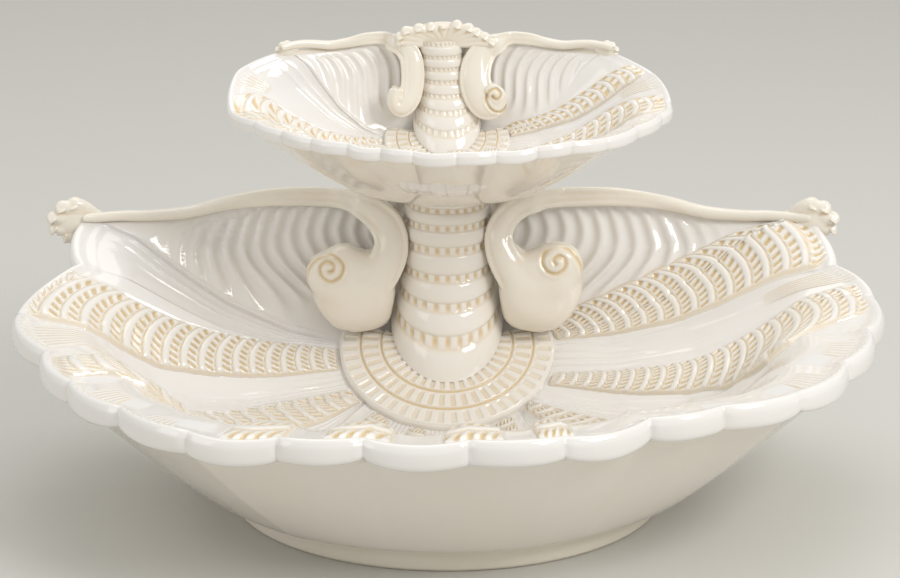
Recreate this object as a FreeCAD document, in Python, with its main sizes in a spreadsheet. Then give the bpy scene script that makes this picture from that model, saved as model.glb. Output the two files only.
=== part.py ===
import FreeCAD, Part
import math
import os
import Sketcher
from FreeCAD import Placement, Rotation, Vector

# Two-tier shell server in glazed ceramic.
# A large shell dish stands on an oval foot. At its back a ribbed column rises
# between two C-scrolls and carries a smaller shell dish, which lifts off.
# Millimetres. +X to the right, +Y to the back, +Z up. The shapes are worked out
# about the foot's centre and then moved so that the origin is at the middle of
# the overall box, on the surface that the server stands on.

doc = FreeCAD.newDocument("two_tier_server")
sheet = doc.addObject("Spreadsheet::Sheet", "Sizes")

SIZES = {
    # foot
    "foot_half_length": 116.0,
    "foot_wall": 12.0,
    "foot_height": 14.0,
    "foot_edge_round": 3.0,
    # lower dish
    "lower_reach": 273.0,
    "lower_hinge_back": 85.0,
    "lower_hinge_level": 58.0,
    "lower_rim_level": 96.0,
    "lower_ear_level": 128.0,
    "lower_rail_level": 139.0,
    "lower_rail_back": 32.0,
    "lower_rail_half": 214.0,
    "lower_lip_height": 13.5,
    "lower_lip_roll": 5.0,
    "lower_lobe_bulge": 4.5,
    "lower_relief": 4.0,
    "lower_flute": 2.0,
    "lower_base_margin": 4.0,
    "lower_plateau_gap": 1.2,
    # lower fan, column and scrolls
    "lower_fan_radius": 61.0,
    "lower_fan_step": 2.0,
    "lower_fan_thickness": 6.0,
    "lower_fan_notch": 3.0,
    "lower_column_base_half": 31.0,
    "lower_column_top_half": 23.0,
    "lower_column_top_level": 144.0,
    "lower_column_front": 76.0,
    "lower_column_foot_front": 30.0,
    "lower_column_gap": 2.0,
    "lower_hoop": 1.4,
    "lower_scroll_band": 8.0,
    "lower_scroll_front": 70.0,
    "lower_scroll_back": 96.0,
    # seat between the tiers
    "boss_half_length": 15.0,
    "boss_half_width": 9.0,
    "boss_height": 8.0,
    "boss_clearance": 0.5,
    "upper_base_half_length": 38.0,
    "upper_base_half_width": 22.0,
    # upper dish
    "upper_reach": 125.0,
    "upper_hinge_back": 96.0,
    "upper_hinge_level": 175.0,
    "upper_rim_level": 195.0,
    "upper_ear_level": 222.0,
    "upper_rail_level": 228.0,
    "upper_rail_back": 22.0,
    "upper_rail_half": 88.0,
    "upper_lip_height": 7.5,
    "upper_lip_roll": 3.2,
    "upper_lobe_bulge": 2.0,
    "upper_relief": 2.2,
    "upper_flute": 1.2,
    "upper_plateau_gap": 0.8,
    # upper fan, column and scrolls
    "upper_fan_radius": 35.0,
    "upper_fan_step": 1.2,
    "upper_fan_thickness": 4.0,
    "upper_fan_notch": 1.8,
    "upper_column_base_half": 18.5,
    "upper_column_top_half": 11.0,
    "upper_column_top_level": 227.0,
    "upper_column_front": 98.0,
    "upper_column_foot_front": 17.0,
    "upper_column_gap": 1.2,
    "upper_hoop": 0.8,
    "upper_scroll_band": 4.0,
    "upper_scroll_front": 89.5,
    "upper_scroll_back": 105.0,
    # crest and ears
    "crest_half": 27.0,
    "crest_height": 13.0,
    "crest_thickness": 9.0,
    "lower_ear_size": 14.0,
    "lower_ear_lift": 0.6,
    "upper_ear_size": 8.0,
    "upper_ear_lift": 1.6,
    # gap left between an ear and the lip it is luted to
    "joint_gap": 0.3,
}
FAN_TILT = 30.0
# The foot oval: its width by its length.
FOOT_WIDTH_SHARE = 0.95

for row, (alias, value) in enumerate(SIZES.items(), 1):
    sheet.set("A%d" % row, alias)
    sheet.set("B%d" % row, str(value))
    sheet.setAlias("B%d" % row, alias)
doc.recompute()


def size(name):
    """A driving dimension as the sheet holds it."""
    return float(getattr(sheet, name))


# Outline of a shell, counted from the left ear round the front to the right ear.
# Each notch stands between two bands: its turn about the hinge centre in degrees
# from straight ahead, its reach and its rise towards the ears.
NOTCH_TURNS = (-92.8, -84.4, -72.7, -57.8, -46.2, -35.8, -25.7, -16.8, -8.4, 2.2,
               11.9, 21.9, 30.4, 40.3, 53.0, 66.0, 79.6, 84.1, 92.8)
FAN_TURNS = (-96.0, -86.0, -64.0, -49.0, -47.5, -46.0, -44.5, -36.0, -22.0, 3.0,
             36.0, 44.0, 46.5, 49.0, 51.5, 54.0, 70.0, 90.0, 104.0)
LOWER_REACH_SHARES = (0.752, 0.758, 0.887, 0.899, 0.954, 0.989, 1.029, 1.002, 0.974,
                      0.975, 0.977, 0.944, 0.956, 0.974, 0.930, 0.893, 0.869, 0.793, 0.752)
UPPER_REACH_SHARES = (0.740, 0.938, 0.986, 0.969, 0.960, 0.965, 0.947, 0.940, 0.965,
                      0.985, 0.975, 0.990, 1.010, 1.030, 1.010, 1.010, 0.995, 0.920, 0.735)
LOWER_RISE_SHARES = (1.0, 0.44, 0.04, 0.0, 0.0, 0.0, 0.0, 0.0, 0.0,
                     0.0, 0.0, 0.035, 0.07, 0.055, 0.035, 0.05, 0.09, 0.44, 1.0)
UPPER_RISE_SHARES = (1.0, 0.70, 0.07, 0.11, 0.08, 0.055, 0.04, 0.0, 0.0,
                     0.0, 0.0, 0.045, 0.09, 0.07, 0.11, 0.15, 0.19, 0.67, 1.0)
# R is a ribbed band, raised; S a smooth channel, sunk; L a leaf.
BANDS = "SRSLLSRSRSRSSLSRSR"
RELIEF_SHARES = {"R": 1.0, "S": -1.0, "L": 0.35}
DROOP_SHARES = {"R": -0.30, "S": 0.15, "L": 0.05}
# How far the dish wall has risen at each share of the way from fan to rim.
WALL_WAY_SHARES = (0.0, 0.22, 0.48, 0.62, 0.71, 0.79, 0.87, 1.0)
FRONT_RISE_SHARES = (0.0, 0.03, 0.13, 0.28, 0.52, 0.78, 0.95, 1.0)
SIDE_RISE_SHARES = (0.0, 0.10, 0.33, 0.52, 0.65, 0.77, 0.89, 1.0)
BACK_RISE_SHARES = (0.0, 0.24, 0.51, 0.65, 0.74, 0.82, 0.90, 1.0)
# Outside of the bowl, from the base edge to under the lip.
BOWL_WAY_SHARES = (0.0, 0.16, 0.50, 0.82)
BOWL_RISE_SHARES = (0.0, 0.05, 0.40, 0.78)
POINTS_PER_BAND = 3
# Rings of points up the inside wall of each dish: every second one is the crest of
# a rib across the ribbed bands, and between ribs only a share of the relief is left.
LOWER_WALL_ROWS, UPPER_WALL_ROWS = 14, 10
RIB_VALLEY_SHARE = 0.15
FLUTES = 12
POINTS_PER_FLUTE = 2
PLATEAU_BACK_SHARE = 0.34
PLATEAU_POWER = 0.6
# The rail: it stays low near the ears and rises to its full height between these
# shares of its half length, and it swings back by a power of that share.
RAIL_RISE_END_SHARE, RAIL_RISE_START_SHARE = 0.46, 0.77
RAIL_SWING_POWER = 4.0
# The wall's section changes from a front one to a side one over this turn, in degrees.
SIDE_START, SIDE_SPREAD = 68.0, 14.0
# The rolled lip, by its roll: how far under it the bowl tucks in, where its face
# starts, where its crest and its inner foot lie, and where the wall ends.
TUCK_SHARE = 1.2
LIP_FACE_SHARE = 0.6
LIP_CREST_SHARE = 0.5
LIP_INNER_SHARE = 1.6
WALL_END_SHARE = 2.6
WALL_TOP_SHARE = 0.4
# Relief: its fade at the foot of the wall and what is left of it at the lip.
RELIEF_FADE_SHARE = 0.08
RELIEF_LIP_SHARE = 0.6


def read_tier(tier):
    """All sizes of one tier, by their names without the tier's own."""
    start = tier + "_"
    return {name[len(start):]: size(name) for name in SIZES if name.startswith(start)}


def on_fan_plane(t, across, ahead, drop=0.0):
    """A point on the tilted plane that the fan lies on, or under it."""
    tilt = math.radians(FAN_TILT)
    y = t["hinge_back"] - ahead * math.cos(tilt) + drop * math.sin(tilt)
    z = t["hinge_level"] - ahead * math.sin(tilt) - drop * math.cos(tilt)
    return Vector(across, y, z)


def fan_edge(t, turn):
    """Edge of the plateau: a half circle ahead of the hinge, shallow behind it."""
    a = math.radians(turn)
    ahead = math.cos(a)
    if ahead < 0:
        ahead = -PLATEAU_BACK_SHARE * abs(ahead) ** PLATEAU_POWER
    r = t["fan_radius"] + t["plateau_gap"]
    return on_fan_plane(t, r * math.sin(a), r * ahead, t["fan_thickness"])


def between(a, b, share):
    return a + (b - a) * share


def lookup(way, table):
    """Straight-line reading of a share table over WALL_WAY_SHARES."""
    for i in range(len(WALL_WAY_SHARES) - 1):
        w0, w1 = WALL_WAY_SHARES[i], WALL_WAY_SHARES[i + 1]
        if way <= w1:
            return between(table[i], table[i + 1], (way - w0) / (w1 - w0))
    return table[-1]


def rim_point(t, turn, reach, level):
    a = math.radians(turn)
    return Vector(reach * math.sin(a), t["hinge_back"] - reach * math.cos(a), level)


def eased(share):
    """0 to 1, level at both ends."""
    share = min(1.0, max(0.0, share))
    return share * share * (3.0 - 2.0 * share)


def shell_meridians(t):
    """Each meridian: fan edge, rim with and without its lobe, relief, shares of side and back."""
    meridians = []
    lift = t["ear_level"] - t["rim_level"]
    reach_shares, rise_shares = t["reach_shares"], t["rise_shares"]
    for k, kind in enumerate(BANDS):
        for j in range(POINTS_PER_BAND):
            u = j / POINTS_PER_BAND
            swell = math.sin(math.pi * u)
            relief = t["relief"] * RELIEF_SHARES[kind] * swell
            turn = between(NOTCH_TURNS[k], NOTCH_TURNS[k + 1], u)
            reach = t["reach"] * between(reach_shares[k], reach_shares[k + 1], u)
            level = t["rim_level"] + lift * between(rise_shares[k], rise_shares[k + 1], u)
            level += t["lobe_bulge"] * DROOP_SHARES[kind] * swell
            rim = rim_point(t, turn, reach + t["lobe_bulge"] * swell, level)
            plain = rim_point(t, turn, reach, level)
            inner = fan_edge(t, between(FAN_TURNS[k], FAN_TURNS[k + 1], u))
            side = min(1.0, max(0.0, (abs(turn) - SIDE_START) / SIDE_SPREAD))
            valley = relief * RIB_VALLEY_SHARE if kind == "R" else relief
            meridians.append({"inner": inner, "rim": rim, "plain": plain, "relief": relief,
                              "valley": valley, "side": side, "back": 0.0})
    start, end = FAN_TURNS[-1], FAN_TURNS[0] + 360.0
    count = FLUTES * POINTS_PER_FLUTE
    edge = rim_point(t, NOTCH_TURNS[-1], t["reach"] * reach_shares[-1], t["ear_level"])
    for j in range(count):
        c = j / count
        x_share = math.cos(math.pi * c)
        x = x_share * between(edge.x, t["rail_half"], math.sin(math.pi * c))
        y = between(t["hinge_back"] + t["rail_back"], edge.y, abs(x_share) ** RAIL_SWING_POWER)
        fall = (abs(x_share) - RAIL_RISE_END_SHARE) / (RAIL_RISE_START_SHARE - RAIL_RISE_END_SHARE)
        z = between(t["rail_level"], t["ear_level"], eased(fall))
        inner = fan_edge(t, between(start, end, c))
        wave = math.cos(2.0 * math.pi * j / POINTS_PER_FLUTE)
        calm = min(1.0, max(0.0, (abs(x) - t["fan_radius"]) / t["fan_radius"]))
        back = min(1.0, math.sin(math.pi * c) * 2.0)
        rim, relief = Vector(x, y, z), t["flute"] * wave * calm
        meridians.append({"inner": inner, "rim": rim, "plain": rim, "relief": relief,
                          "valley": relief, "side": 1.0, "back": back})
    return meridians


def meridian_points(t, base, meridian):
    """Poles of one meridian, from the base edge over the lip down to the fan."""
    inner, rim, plain, back = meridian["inner"], meridian["rim"], meridian["plain"], meridian["back"]
    way = Vector(inner.x - rim.x, inner.y - rim.y, 0.0)
    length = way.Length
    way.normalize()
    under = rim.z - t["lip_height"]
    roll = t["lip_roll"]
    foot_turn = math.atan2(plain.x / base["half_length"], (plain.y - base["back"]) / base["half_width"])
    foot = Vector(base["half_length"] * math.sin(foot_turn),
                  base["back"] + base["half_width"] * math.cos(foot_turn), base["level"])
    tuck = plain + way * roll * TUCK_SHARE
    points = []
    for w, h in zip(BOWL_WAY_SHARES, BOWL_RISE_SHARES):
        points.append(Vector(between(foot.x, tuck.x, w), between(foot.y, tuck.y, w),
                             between(foot.z, under, h)))
    points.append(Vector(tuck.x, tuck.y, under))
    points.append(Vector(rim.x, rim.y, under))
    points.append(Vector(rim.x, rim.y, rim.z - roll * LIP_FACE_SHARE))
    points.append(Vector(rim.x, rim.y, rim.z) + way * roll * LIP_CREST_SHARE)
    points.append(Vector(rim.x, rim.y, rim.z) + way * roll * LIP_INNER_SHARE)
    last = 1.0 - min(0.5, WALL_END_SHARE * roll / length)
    for row in reversed(range(t["wall_rows"])):
        w = row / (t["wall_rows"] - 1)
        s = w * last
        x, y = between(inner.x, rim.x, s), between(inner.y, rim.y, s)
        front_z, side_z = lookup(w, FRONT_RISE_SHARES), lookup(w, SIDE_RISE_SHARES)
        rise = between(front_z, side_z, meridian["side"])
        rise = between(rise, lookup(w, BACK_RISE_SHARES), back)
        fade = math.sin(math.pi * (RELIEF_FADE_SHARE + w)) if w < 0.5 else 1.0
        if w in (0.0, 1.0):
            fade = 0.0 if w == 0.0 else RELIEF_LIP_SHARE
        z = between(inner.z, rim.z - roll * WALL_TOP_SHARE, rise)
        point = Vector(x, y, z)
        normal = Vector(0.0, 0.0, 1.0)
        if back > 0:
            normal = Vector(0.0, -back, 1.0)
            normal.normalize()
        points.append(point + normal * meridian["relief" if row % 2 else "valley"] * fade)
    return points


def solid_from_rows(rows):
    """A closed solid of flat facets from ring to ring; the end rings are flat."""
    faces = []
    for low, high in zip(rows, rows[1:]):
        for i in range(len(low)):
            j = (i + 1) % len(low)
            if (low[i] - high[j]).Length < (low[j] - high[i]).Length:
                corners = ((low[i], low[j], high[j]), (low[i], high[j], high[i]))
            else:
                corners = ((low[i], low[j], high[i]), (low[j], high[j], high[i]))
            for a, b, c in corners:
                faces.append(Part.Face(Part.makePolygon([a, b, c, a])))
    for ring in (rows[0], rows[-1]):
        faces.append(Part.Face(Part.makePolygon(list(ring) + [ring[0]])))
    shell = Part.makeShell(faces)
    shell.sewShape()
    solid = Part.Solid(shell)
    if solid.Volume < 0:
        solid.reverse()
    return solid


def dish_shape(t, base):
    columns = [meridian_points(t, base, m) for m in shell_meridians(t)]
    return solid_from_rows(list(zip(*columns)))


def oval_prism(half_length, half_width, back, level, height):
    """An upright prism on an oval that lies across the server."""
    oval = Part.Ellipse(Vector(0.0, back, level), half_length, half_width)
    return Part.Face(Part.Wire([oval.toShape()])).extrude(Vector(0.0, 0.0, height))


def back_wall_at(t, base):
    """The lower and upper end of the dish's inner back wall, on the middle line."""
    middle = shell_meridians(t)[len(BANDS) * POINTS_PER_BAND + FLUTES * POINTS_PER_FLUTE // 2]
    points = meridian_points(t, base, middle)
    return points[-1], points[-t["wall_rows"]]


# Column: from its foot on the fan to its top. Each station has its height, its
# width, how far its front stands forward and its turn, as shares of foot to top.
STATION_SHARES = (0.0, 0.14, 0.30, 0.46, 0.62, 0.76, 0.88, 1.0)
WIDTH_SHARES = (1.0, 0.80, 0.45, 0.22, 0.08, 0.02, 0.0, 0.0)
FORWARD_SHARES = (1.0, 0.62, 0.30, 0.10, 0.02, 0.0, 0.0, 0.0)
TURN_SHARES = (1.0, 0.70, 0.42, 0.20, 0.06, 0.0, 0.0, 0.0)
# One hoop and the sunk row of beads over it, along one station.
HOOP_WAY_SHARES = (0.0, 0.12, 0.40, 0.62, 0.70)
HOOP_RISE_SHARES = (0.0, 0.75, 1.0, 0.75, 0.0)
SECTION_SIDES = 10
# The strip of the fan block behind its hinge line: across and back, by the radius.
STRIP_SHARES = ((-0.95, 0.0), (-0.95, 0.15), (-0.5, 0.29), (0.5, 0.29), (0.95, 0.15), (0.95, 0.0))
FOOT_BACK_SHARE = 0.27


def column_section(t, wall, share, swell):
    """A half oval, flat behind, in a plane that turns from the fan's to level."""
    i = 0
    while share > STATION_SHARES[i + 1]:
        i += 1
    u = (share - STATION_SHARES[i]) / (STATION_SHARES[i + 1] - STATION_SHARES[i])
    width = between(WIDTH_SHARES[i], WIDTH_SHARES[i + 1], u)
    forward = between(FORWARD_SHARES[i], FORWARD_SHARES[i + 1], u)
    turn = math.radians(FAN_TILT) * between(TURN_SHARES[i], TURN_SHARES[i + 1], u)
    foot_back = on_fan_plane(t, 0.0, -t["fan_radius"] * FOOT_BACK_SHARE)
    top_back = Vector(0.0, wall[1].y - t["column_gap"], t["column_top_level"])
    back = foot_back + (top_back - foot_back) * share
    foot_front = on_fan_plane(t, 0.0, t["column_foot_front"])
    front_y = between(t["column_front"], foot_front.y, forward)
    depth = (back.y - front_y) / math.cos(turn) + swell
    half = between(t["column_top_half"], t["column_base_half"], width) + swell
    ahead = Vector(0.0, -math.cos(turn), -math.sin(turn))
    ring = []
    for k in range(SECTION_SIDES + 1):
        a = math.pi * k / SECTION_SIDES
        ring.append(back + Vector(half * math.cos(a), 0.0, 0.0) + ahead * depth * math.sin(a))
    return ring


def column_shape(t, wall):
    rings = []
    for i in range(len(STATION_SHARES) - 1):
        for w, rise in zip(HOOP_WAY_SHARES, HOOP_RISE_SHARES):
            share = between(STATION_SHARES[i], STATION_SHARES[i + 1], w)
            rings.append(column_section(t, wall, share, t["hoop"] * rise))
    rings.append(column_section(t, wall, 1.0, 0.0))
    return solid_from_rows(rings)


# A scroll's band: places across (by the half band, from the seat's middle) and up
# (share of seat to rail), its half width by the half band, and how far it lies
# back from the scroll's front towards the wall.
LOWER_SCROLL_SHARES = (
    (-1.42, 0.985, 0.96, 1.00), (-1.47, 0.70, 0.95, 0.85), (-1.14, 0.54, 1.15, 0.62),
    (-0.25, 0.39, 1.60, 0.40), (0.92, 0.285, 1.74, 0.22), (2.36, 0.30, 1.36, 0.10),
    (3.20, 0.381, 0.95, 0.03), (3.65, 0.50, 0.72, 0.0), (3.25, 0.60, 0.55, 0.0),
    (2.40, 0.62, 0.46, 0.0), (1.70, 0.556, 0.40, 0.0), (2.05, 0.481, 0.36, 0.0))
UPPER_SCROLL_SHARES = (
    (-1.50, 0.97, 1.20, 1.00), (-2.20, 0.74, 1.24, 0.85), (-2.10, 0.54, 1.22, 0.60),
    (-1.40, 0.38, 1.15, 0.35), (-0.35, 0.29, 1.08, 0.15), (0.70, 0.31, 0.85, 0.03),
    (1.05, 0.40, 0.60, 0.0), (0.70, 0.48, 0.40, 0.0))
# The neck under a scroll: share of the way from its seat to the band, its half
# length across and its half depth by the half band.
NECK_SHARES = ((0.0, 1.40, 0.50), (0.30, 1.50, 0.85), (0.65, 1.45, 1.10), (1.0, 1.10, 1.00))
RING_SIDES = 9
SEAT_ACROSS_SHARE = 0.74
SEAT_BACK_SHARE = 0.07


def oval_ring(middle, along, up, half, depth):
    """Points of an oval across the way that a band runs, deep from front to back."""
    ring = []
    for k in range(RING_SIDES):
        a = 2.0 * math.pi * k / RING_SIDES
        ring.append(middle + up * half * math.cos(a) + along * depth * math.sin(a))
    return ring


def mirror_rings(rings, side):
    """The right-hand rings as they are, or their mirror image for the left."""
    if side > 0:
        return rings
    return [[Vector(-p.x, p.y, p.z) for p in reversed(ring)] for ring in rings]


def scroll_shape(t, wall, stops_table, side):
    """A C-scroll: a deep band that runs down from the rail, out and round into its eye."""
    band, deep = t["scroll_band"], Vector(0.0, 1.0, 0.0)
    seat = on_fan_plane(t, t["fan_radius"] * SEAT_ACROSS_SHARE, -t["fan_radius"] * SEAT_BACK_SHARE)
    tall = t["rail_level"] - seat.z
    stops = []
    for across, rise, half, back in stops_table:
        front = between(t["scroll_front"], wall[1].y - t["column_gap"] - band * 2.0, back)
        rear = between(t["scroll_back"], wall[1].y - t["column_gap"], back)
        stops.append((Vector(seat.x + across * band, (front + rear) * 0.5, seat.z + rise * tall),
                      half * band, (rear - front) * 0.5))
    rings = []
    for i, (place, half, depth) in enumerate(stops):
        way = stops[min(i + 1, len(stops) - 1)][0] - stops[max(i - 1, 0)][0]
        way.y = 0.0
        way.normalize()
        rings.append(oval_ring(place, deep, Vector(-way.z, 0.0, way.x), half, depth))
    top = stops[4][0]
    tilt = math.radians(FAN_TILT)
    neck = []
    for share, half, depth in NECK_SHARES:
        turn = tilt * (1.0 - share)
        middle = seat + (top - seat) * share
        back = Vector(0.0, math.cos(turn), math.sin(turn))
        neck.append(oval_ring(middle, back, Vector(1.0, 0.0, 0.0), half * band, depth * band))
    return solid_from_rows(mirror_rings(rings, side)).fuse(solid_from_rows(mirror_rings(neck, side)))


# A leafy ear: a short curl against the end of the rail. Places out and up and
# half width, by its size.
EAR_SHARES = ((0.04, -0.70, 0.22), (0.16, -0.42, 0.34), (0.36, -0.05, 0.44), (0.50, 0.32, 0.38),
              (0.26, 0.58, 0.26), (-0.06, 0.50, 0.18))
EAR_DEPTH_SHARE = 1.3
EAR_BACK_SHARE = 0.99


def ear_shape(t, side):
    """The curl at one end of the rail."""
    big, deep = t["ear_size"], Vector(0.0, 1.0, 0.0)
    base = rim_point(t, NOTCH_TURNS[-1], t["reach"] * t["reach_shares"][-1], t["ear_level"])
    behind = t["lip_roll"] * EAR_BACK_SHARE + size("joint_gap")
    base = base + Vector(0.0, behind, t["ear_lift"])
    places = [base + Vector(out * big, 0.0, up * big) for out, up, half in EAR_SHARES]
    rings = []
    for i, (out, up, half) in enumerate(EAR_SHARES):
        way = places[min(i + 1, len(places) - 1)] - places[max(i - 1, 0)]
        way.normalize()
        across = Vector(-way.z, 0.0, way.x)
        rings.append(oval_ring(places[i], deep, across, half * big, half * big * EAR_DEPTH_SHARE))
    return solid_from_rows(mirror_rings(rings, side))


# The crest: a small fan of lobes that stands on the upper column.
CREST_LOBES = 7
CREST_NOTCH_SHARE = 0.82


def crest_shape(front, level):
    half, height = size("crest_half"), size("crest_height")

    def on_arc(step, tall):
        a = math.pi * step / CREST_LOBES
        return Vector(-half * math.cos(a), front, level + tall * math.sin(a))

    edges = []
    for k in range(CREST_LOBES):
        ends = on_arc(k, height * CREST_NOTCH_SHARE), on_arc(k + 1, height * CREST_NOTCH_SHARE)
        edges.append(Part.Arc(ends[0], on_arc(k + 0.5, height), ends[1]).toShape())
    edges.append(Part.makeLine(on_arc(CREST_LOBES, 0.0), on_arc(0, 0.0)))
    return Part.Face(Part.Wire(edges)).extrude(Vector(0.0, size("crest_thickness"), 0.0))


# Sketches, whose points and radii are bound to the sheet.
def reading(text):
    """The number that an expression on the sheet's sizes gives."""
    value = sheet.evalExpression(text.replace("Sizes.", ""))
    return float(value)


def plane_of(body, role):
    return next(f for f in body.Origin.OriginFeatures if f.Role == role)


def new_sketch(body, name, role):
    sketch = body.newObject("Sketcher::SketchObject", name)
    sketch.AttachmentSupport = (plane_of(body, role), "")
    sketch.MapMode = "FlatFace"
    return sketch


def bind(sketch, kind, place, text):
    """One dimension of a sketch, held by an expression."""
    index = sketch.addConstraint(Sketcher.Constraint(kind, *place, reading(text)))
    sketch.setExpression("Constraints[%d]" % index, text)


def outline(sketch, corners):
    """A closed outline of straight lines; each corner is a pair of expressions."""
    points = [Vector(reading(x), reading(y), 0.0) for x, y in corners]
    count = len(points)
    first = sketch.GeometryCount
    for i in range(count):
        sketch.addGeometry(Part.LineSegment(points[i], points[(i + 1) % count]), False)
    for i in range(count):
        after = first + (i + 1) % count
        sketch.addConstraint(Sketcher.Constraint("Coincident", first + i, 2, after, 1))
    for i, (x, y) in enumerate(corners):
        bind(sketch, "DistanceX", (-1, 1, first + i, 1), x)
        bind(sketch, "DistanceY", (-1, 1, first + i, 1), y)


def oval(sketch, half_length, half_width):
    """An oval about the sketch's origin, bound by its two half axes."""
    sketch.addGeometry(Part.Ellipse(Vector(0.0, 0.0, 0.0), reading(half_length), reading(half_width)), False)
    index = sketch.GeometryCount - 1
    sketch.exposeInternalGeometry(index)
    sketch.addConstraint(Sketcher.Constraint("Coincident", index, 3, -1, 1))
    sketch.addConstraint(Sketcher.Constraint("Horizontal", index + 1))
    bind(sketch, "Distance", (index + 1, 1, index + 1, 2), "2 * (%s)" % half_length)
    bind(sketch, "Distance", (index + 2, 1, index + 2, 2), "2 * (%s)" % half_width)


def foot_ring_body():
    """The oval foot: a wall that the lower dish stands on."""
    body = doc.addObject("PartDesign::Body", "foot_ring")
    sketch = new_sketch(body, "FootOvals", "XY_Plane")
    wide = "Sizes.foot_half_length * %g" % FOOT_WIDTH_SHARE
    oval(sketch, "Sizes.foot_half_length", wide)
    oval(sketch, "Sizes.foot_half_length - Sizes.foot_wall", wide + " - Sizes.foot_wall")
    pad = body.newObject("PartDesign::Pad", "FootWall")
    pad.Profile = sketch
    pad.setExpression("Length", "Sizes.foot_height")
    doc.recompute()
    low = [i + 1 for i, e in enumerate(pad.Shape.Edges) if e.BoundBox.ZMax < size("foot_height") * 0.5]
    rounding = body.newObject("PartDesign::Chamfer", "FootEdge")
    rounding.Base = (pad, ["Edge%d" % i for i in low])
    rounding.setExpression("Size", "Sizes.foot_edge_round")
    body.Tip = rounding
    return body


# Fan rings: outer radius by the fan's, and how many steps down each one lies.
RING_SHARES = ((0.61, 0), (0.80, 1), (1.0, 2))
# Rows of notches: near and far end by the radius, how many, and steps down.
NOTCH_SHARES = ((0.65, 0.76, 9, 1), (0.84, 0.96, 13, 2))
NOTCH_WIDTH_SHARE = 0.05
FAN_SWEEP = 180.0


def fan_body(tier, t):
    """A half disc of stepped rings, notched like beads, with a strip behind its hinge."""
    start = "Sizes.%s_" % tier
    radius, step, top = start + "fan_radius", start + "fan_step", start + "fan_thickness"
    body = doc.addObject("PartDesign::Body", tier + "_fan")
    profile = new_sketch(body, tier + "FanProfile", "XZ_Plane")
    corners = [("0", "0"), (radius, "0")]
    for share, steps in reversed(RING_SHARES):
        corners.append(("%s * %g" % (radius, share), "%s - %s * %d" % (top, step, steps)))
        inner = [s for s, n in RING_SHARES if n == steps - 1]
        reach = inner[0] if inner else 0.0
        corners.append(("%s * %g" % (radius, reach), "%s - %s * %d" % (top, step, steps)))
    outline(profile, corners)
    rings = body.newObject("PartDesign::Revolution", tier + "FanRings")
    rings.Profile = profile
    rings.ReferenceAxis = (profile, ["V_Axis"])
    rings.Angle = FAN_SWEEP
    rings.Reversed = True
    strip = new_sketch(body, tier + "FanStrip", "XY_Plane")
    outline(strip, [("%s * %g" % (radius, x), "%s * %g" % (radius, y)) for x, y in STRIP_SHARES])
    back = body.newObject("PartDesign::Pad", tier + "FanBack")
    back.Profile = strip
    back.setExpression("Length", top)
    doc.recompute()
    half, deep = "%s * %g" % (radius, NOTCH_WIDTH_SHARE), start + "fan_notch"
    for number, (near, far, count, steps) in enumerate(NOTCH_SHARES):
        name = "%sFanNotch%d" % (tier, number)
        notch = new_sketch(body, name, "XY_Plane")
        turn = FAN_SWEEP * (count - 1) / count * 0.5
        notch.AttachmentOffset = Placement(Vector(0.0, 0.0, 0.0), Rotation(Vector(0.0, 0.0, 1.0), -turn))
        notch.setExpression(".AttachmentOffset.Base.z", "%s - %s * %d - %s" % (top, step, steps, deep))
        outline(notch, [("-" + half, "-%s * %g" % (radius, far)), (half, "-%s * %g" % (radius, far)),
                        (half, "-%s * %g" % (radius, near)), ("-" + half, "-%s * %g" % (radius, near))])
        cut = body.newObject("PartDesign::Pocket", name + "Cut")
        cut.Profile = notch
        cut.Reversed = True
        cut.setExpression("Length", deep + " * 2")
        doc.recompute()
        beads = body.newObject("PartDesign::PolarPattern", name + "Row")
        beads.Originals = [cut]
        beads.Axis = (notch, ["N_Axis"])
        beads.Angle = 2.0 * turn
        beads.Occurrences = count
        body.Tip = beads
        doc.recompute()
    tilt = Rotation(Vector(1.0, 0.0, 0.0), FAN_TILT)
    return body, Placement(on_fan_plane(t, 0.0, 0.0, t["fan_thickness"]), tilt)


def add_shape(label, shape):
    thing = doc.addObject("Part::Feature", label)
    thing.Shape = shape
    return thing


lower, upper = read_tier("lower"), read_tier("upper")
lower["wall_rows"], upper["wall_rows"] = LOWER_WALL_ROWS, UPPER_WALL_ROWS
lower["reach_shares"], upper["reach_shares"] = LOWER_REACH_SHARES, UPPER_REACH_SHARES
lower["rise_shares"], upper["rise_shares"] = LOWER_RISE_SHARES, UPPER_RISE_SHARES
lower_base = {"half_length": size("foot_half_length") + lower["base_margin"],
              "half_width": size("foot_half_length") * FOOT_WIDTH_SHARE + lower["base_margin"],
              "back": 0.0, "level": size("foot_height")}
lower_wall = back_wall_at(lower, lower_base)
seat_back = between(lower["column_front"], lower_wall[1].y - lower["column_gap"], 0.5)
upper_base = {"half_length": upper["base_half_length"], "half_width": upper["base_half_width"],
              "back": seat_back, "level": lower["column_top_level"]}
upper_wall = back_wall_at(upper, upper_base)

# The seat between the tiers: an oval boss on the lower column, and its pocket.
play = size("boss_clearance")
boss = oval_prism(size("boss_half_length"), size("boss_half_width"), seat_back,
                  lower["column_top_level"], size("boss_height"))
socket = oval_prism(size("boss_half_length") + play, size("boss_half_width") + play, seat_back,
                    lower["column_top_level"] - play, size("boss_height") + play * 2.0)

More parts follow.
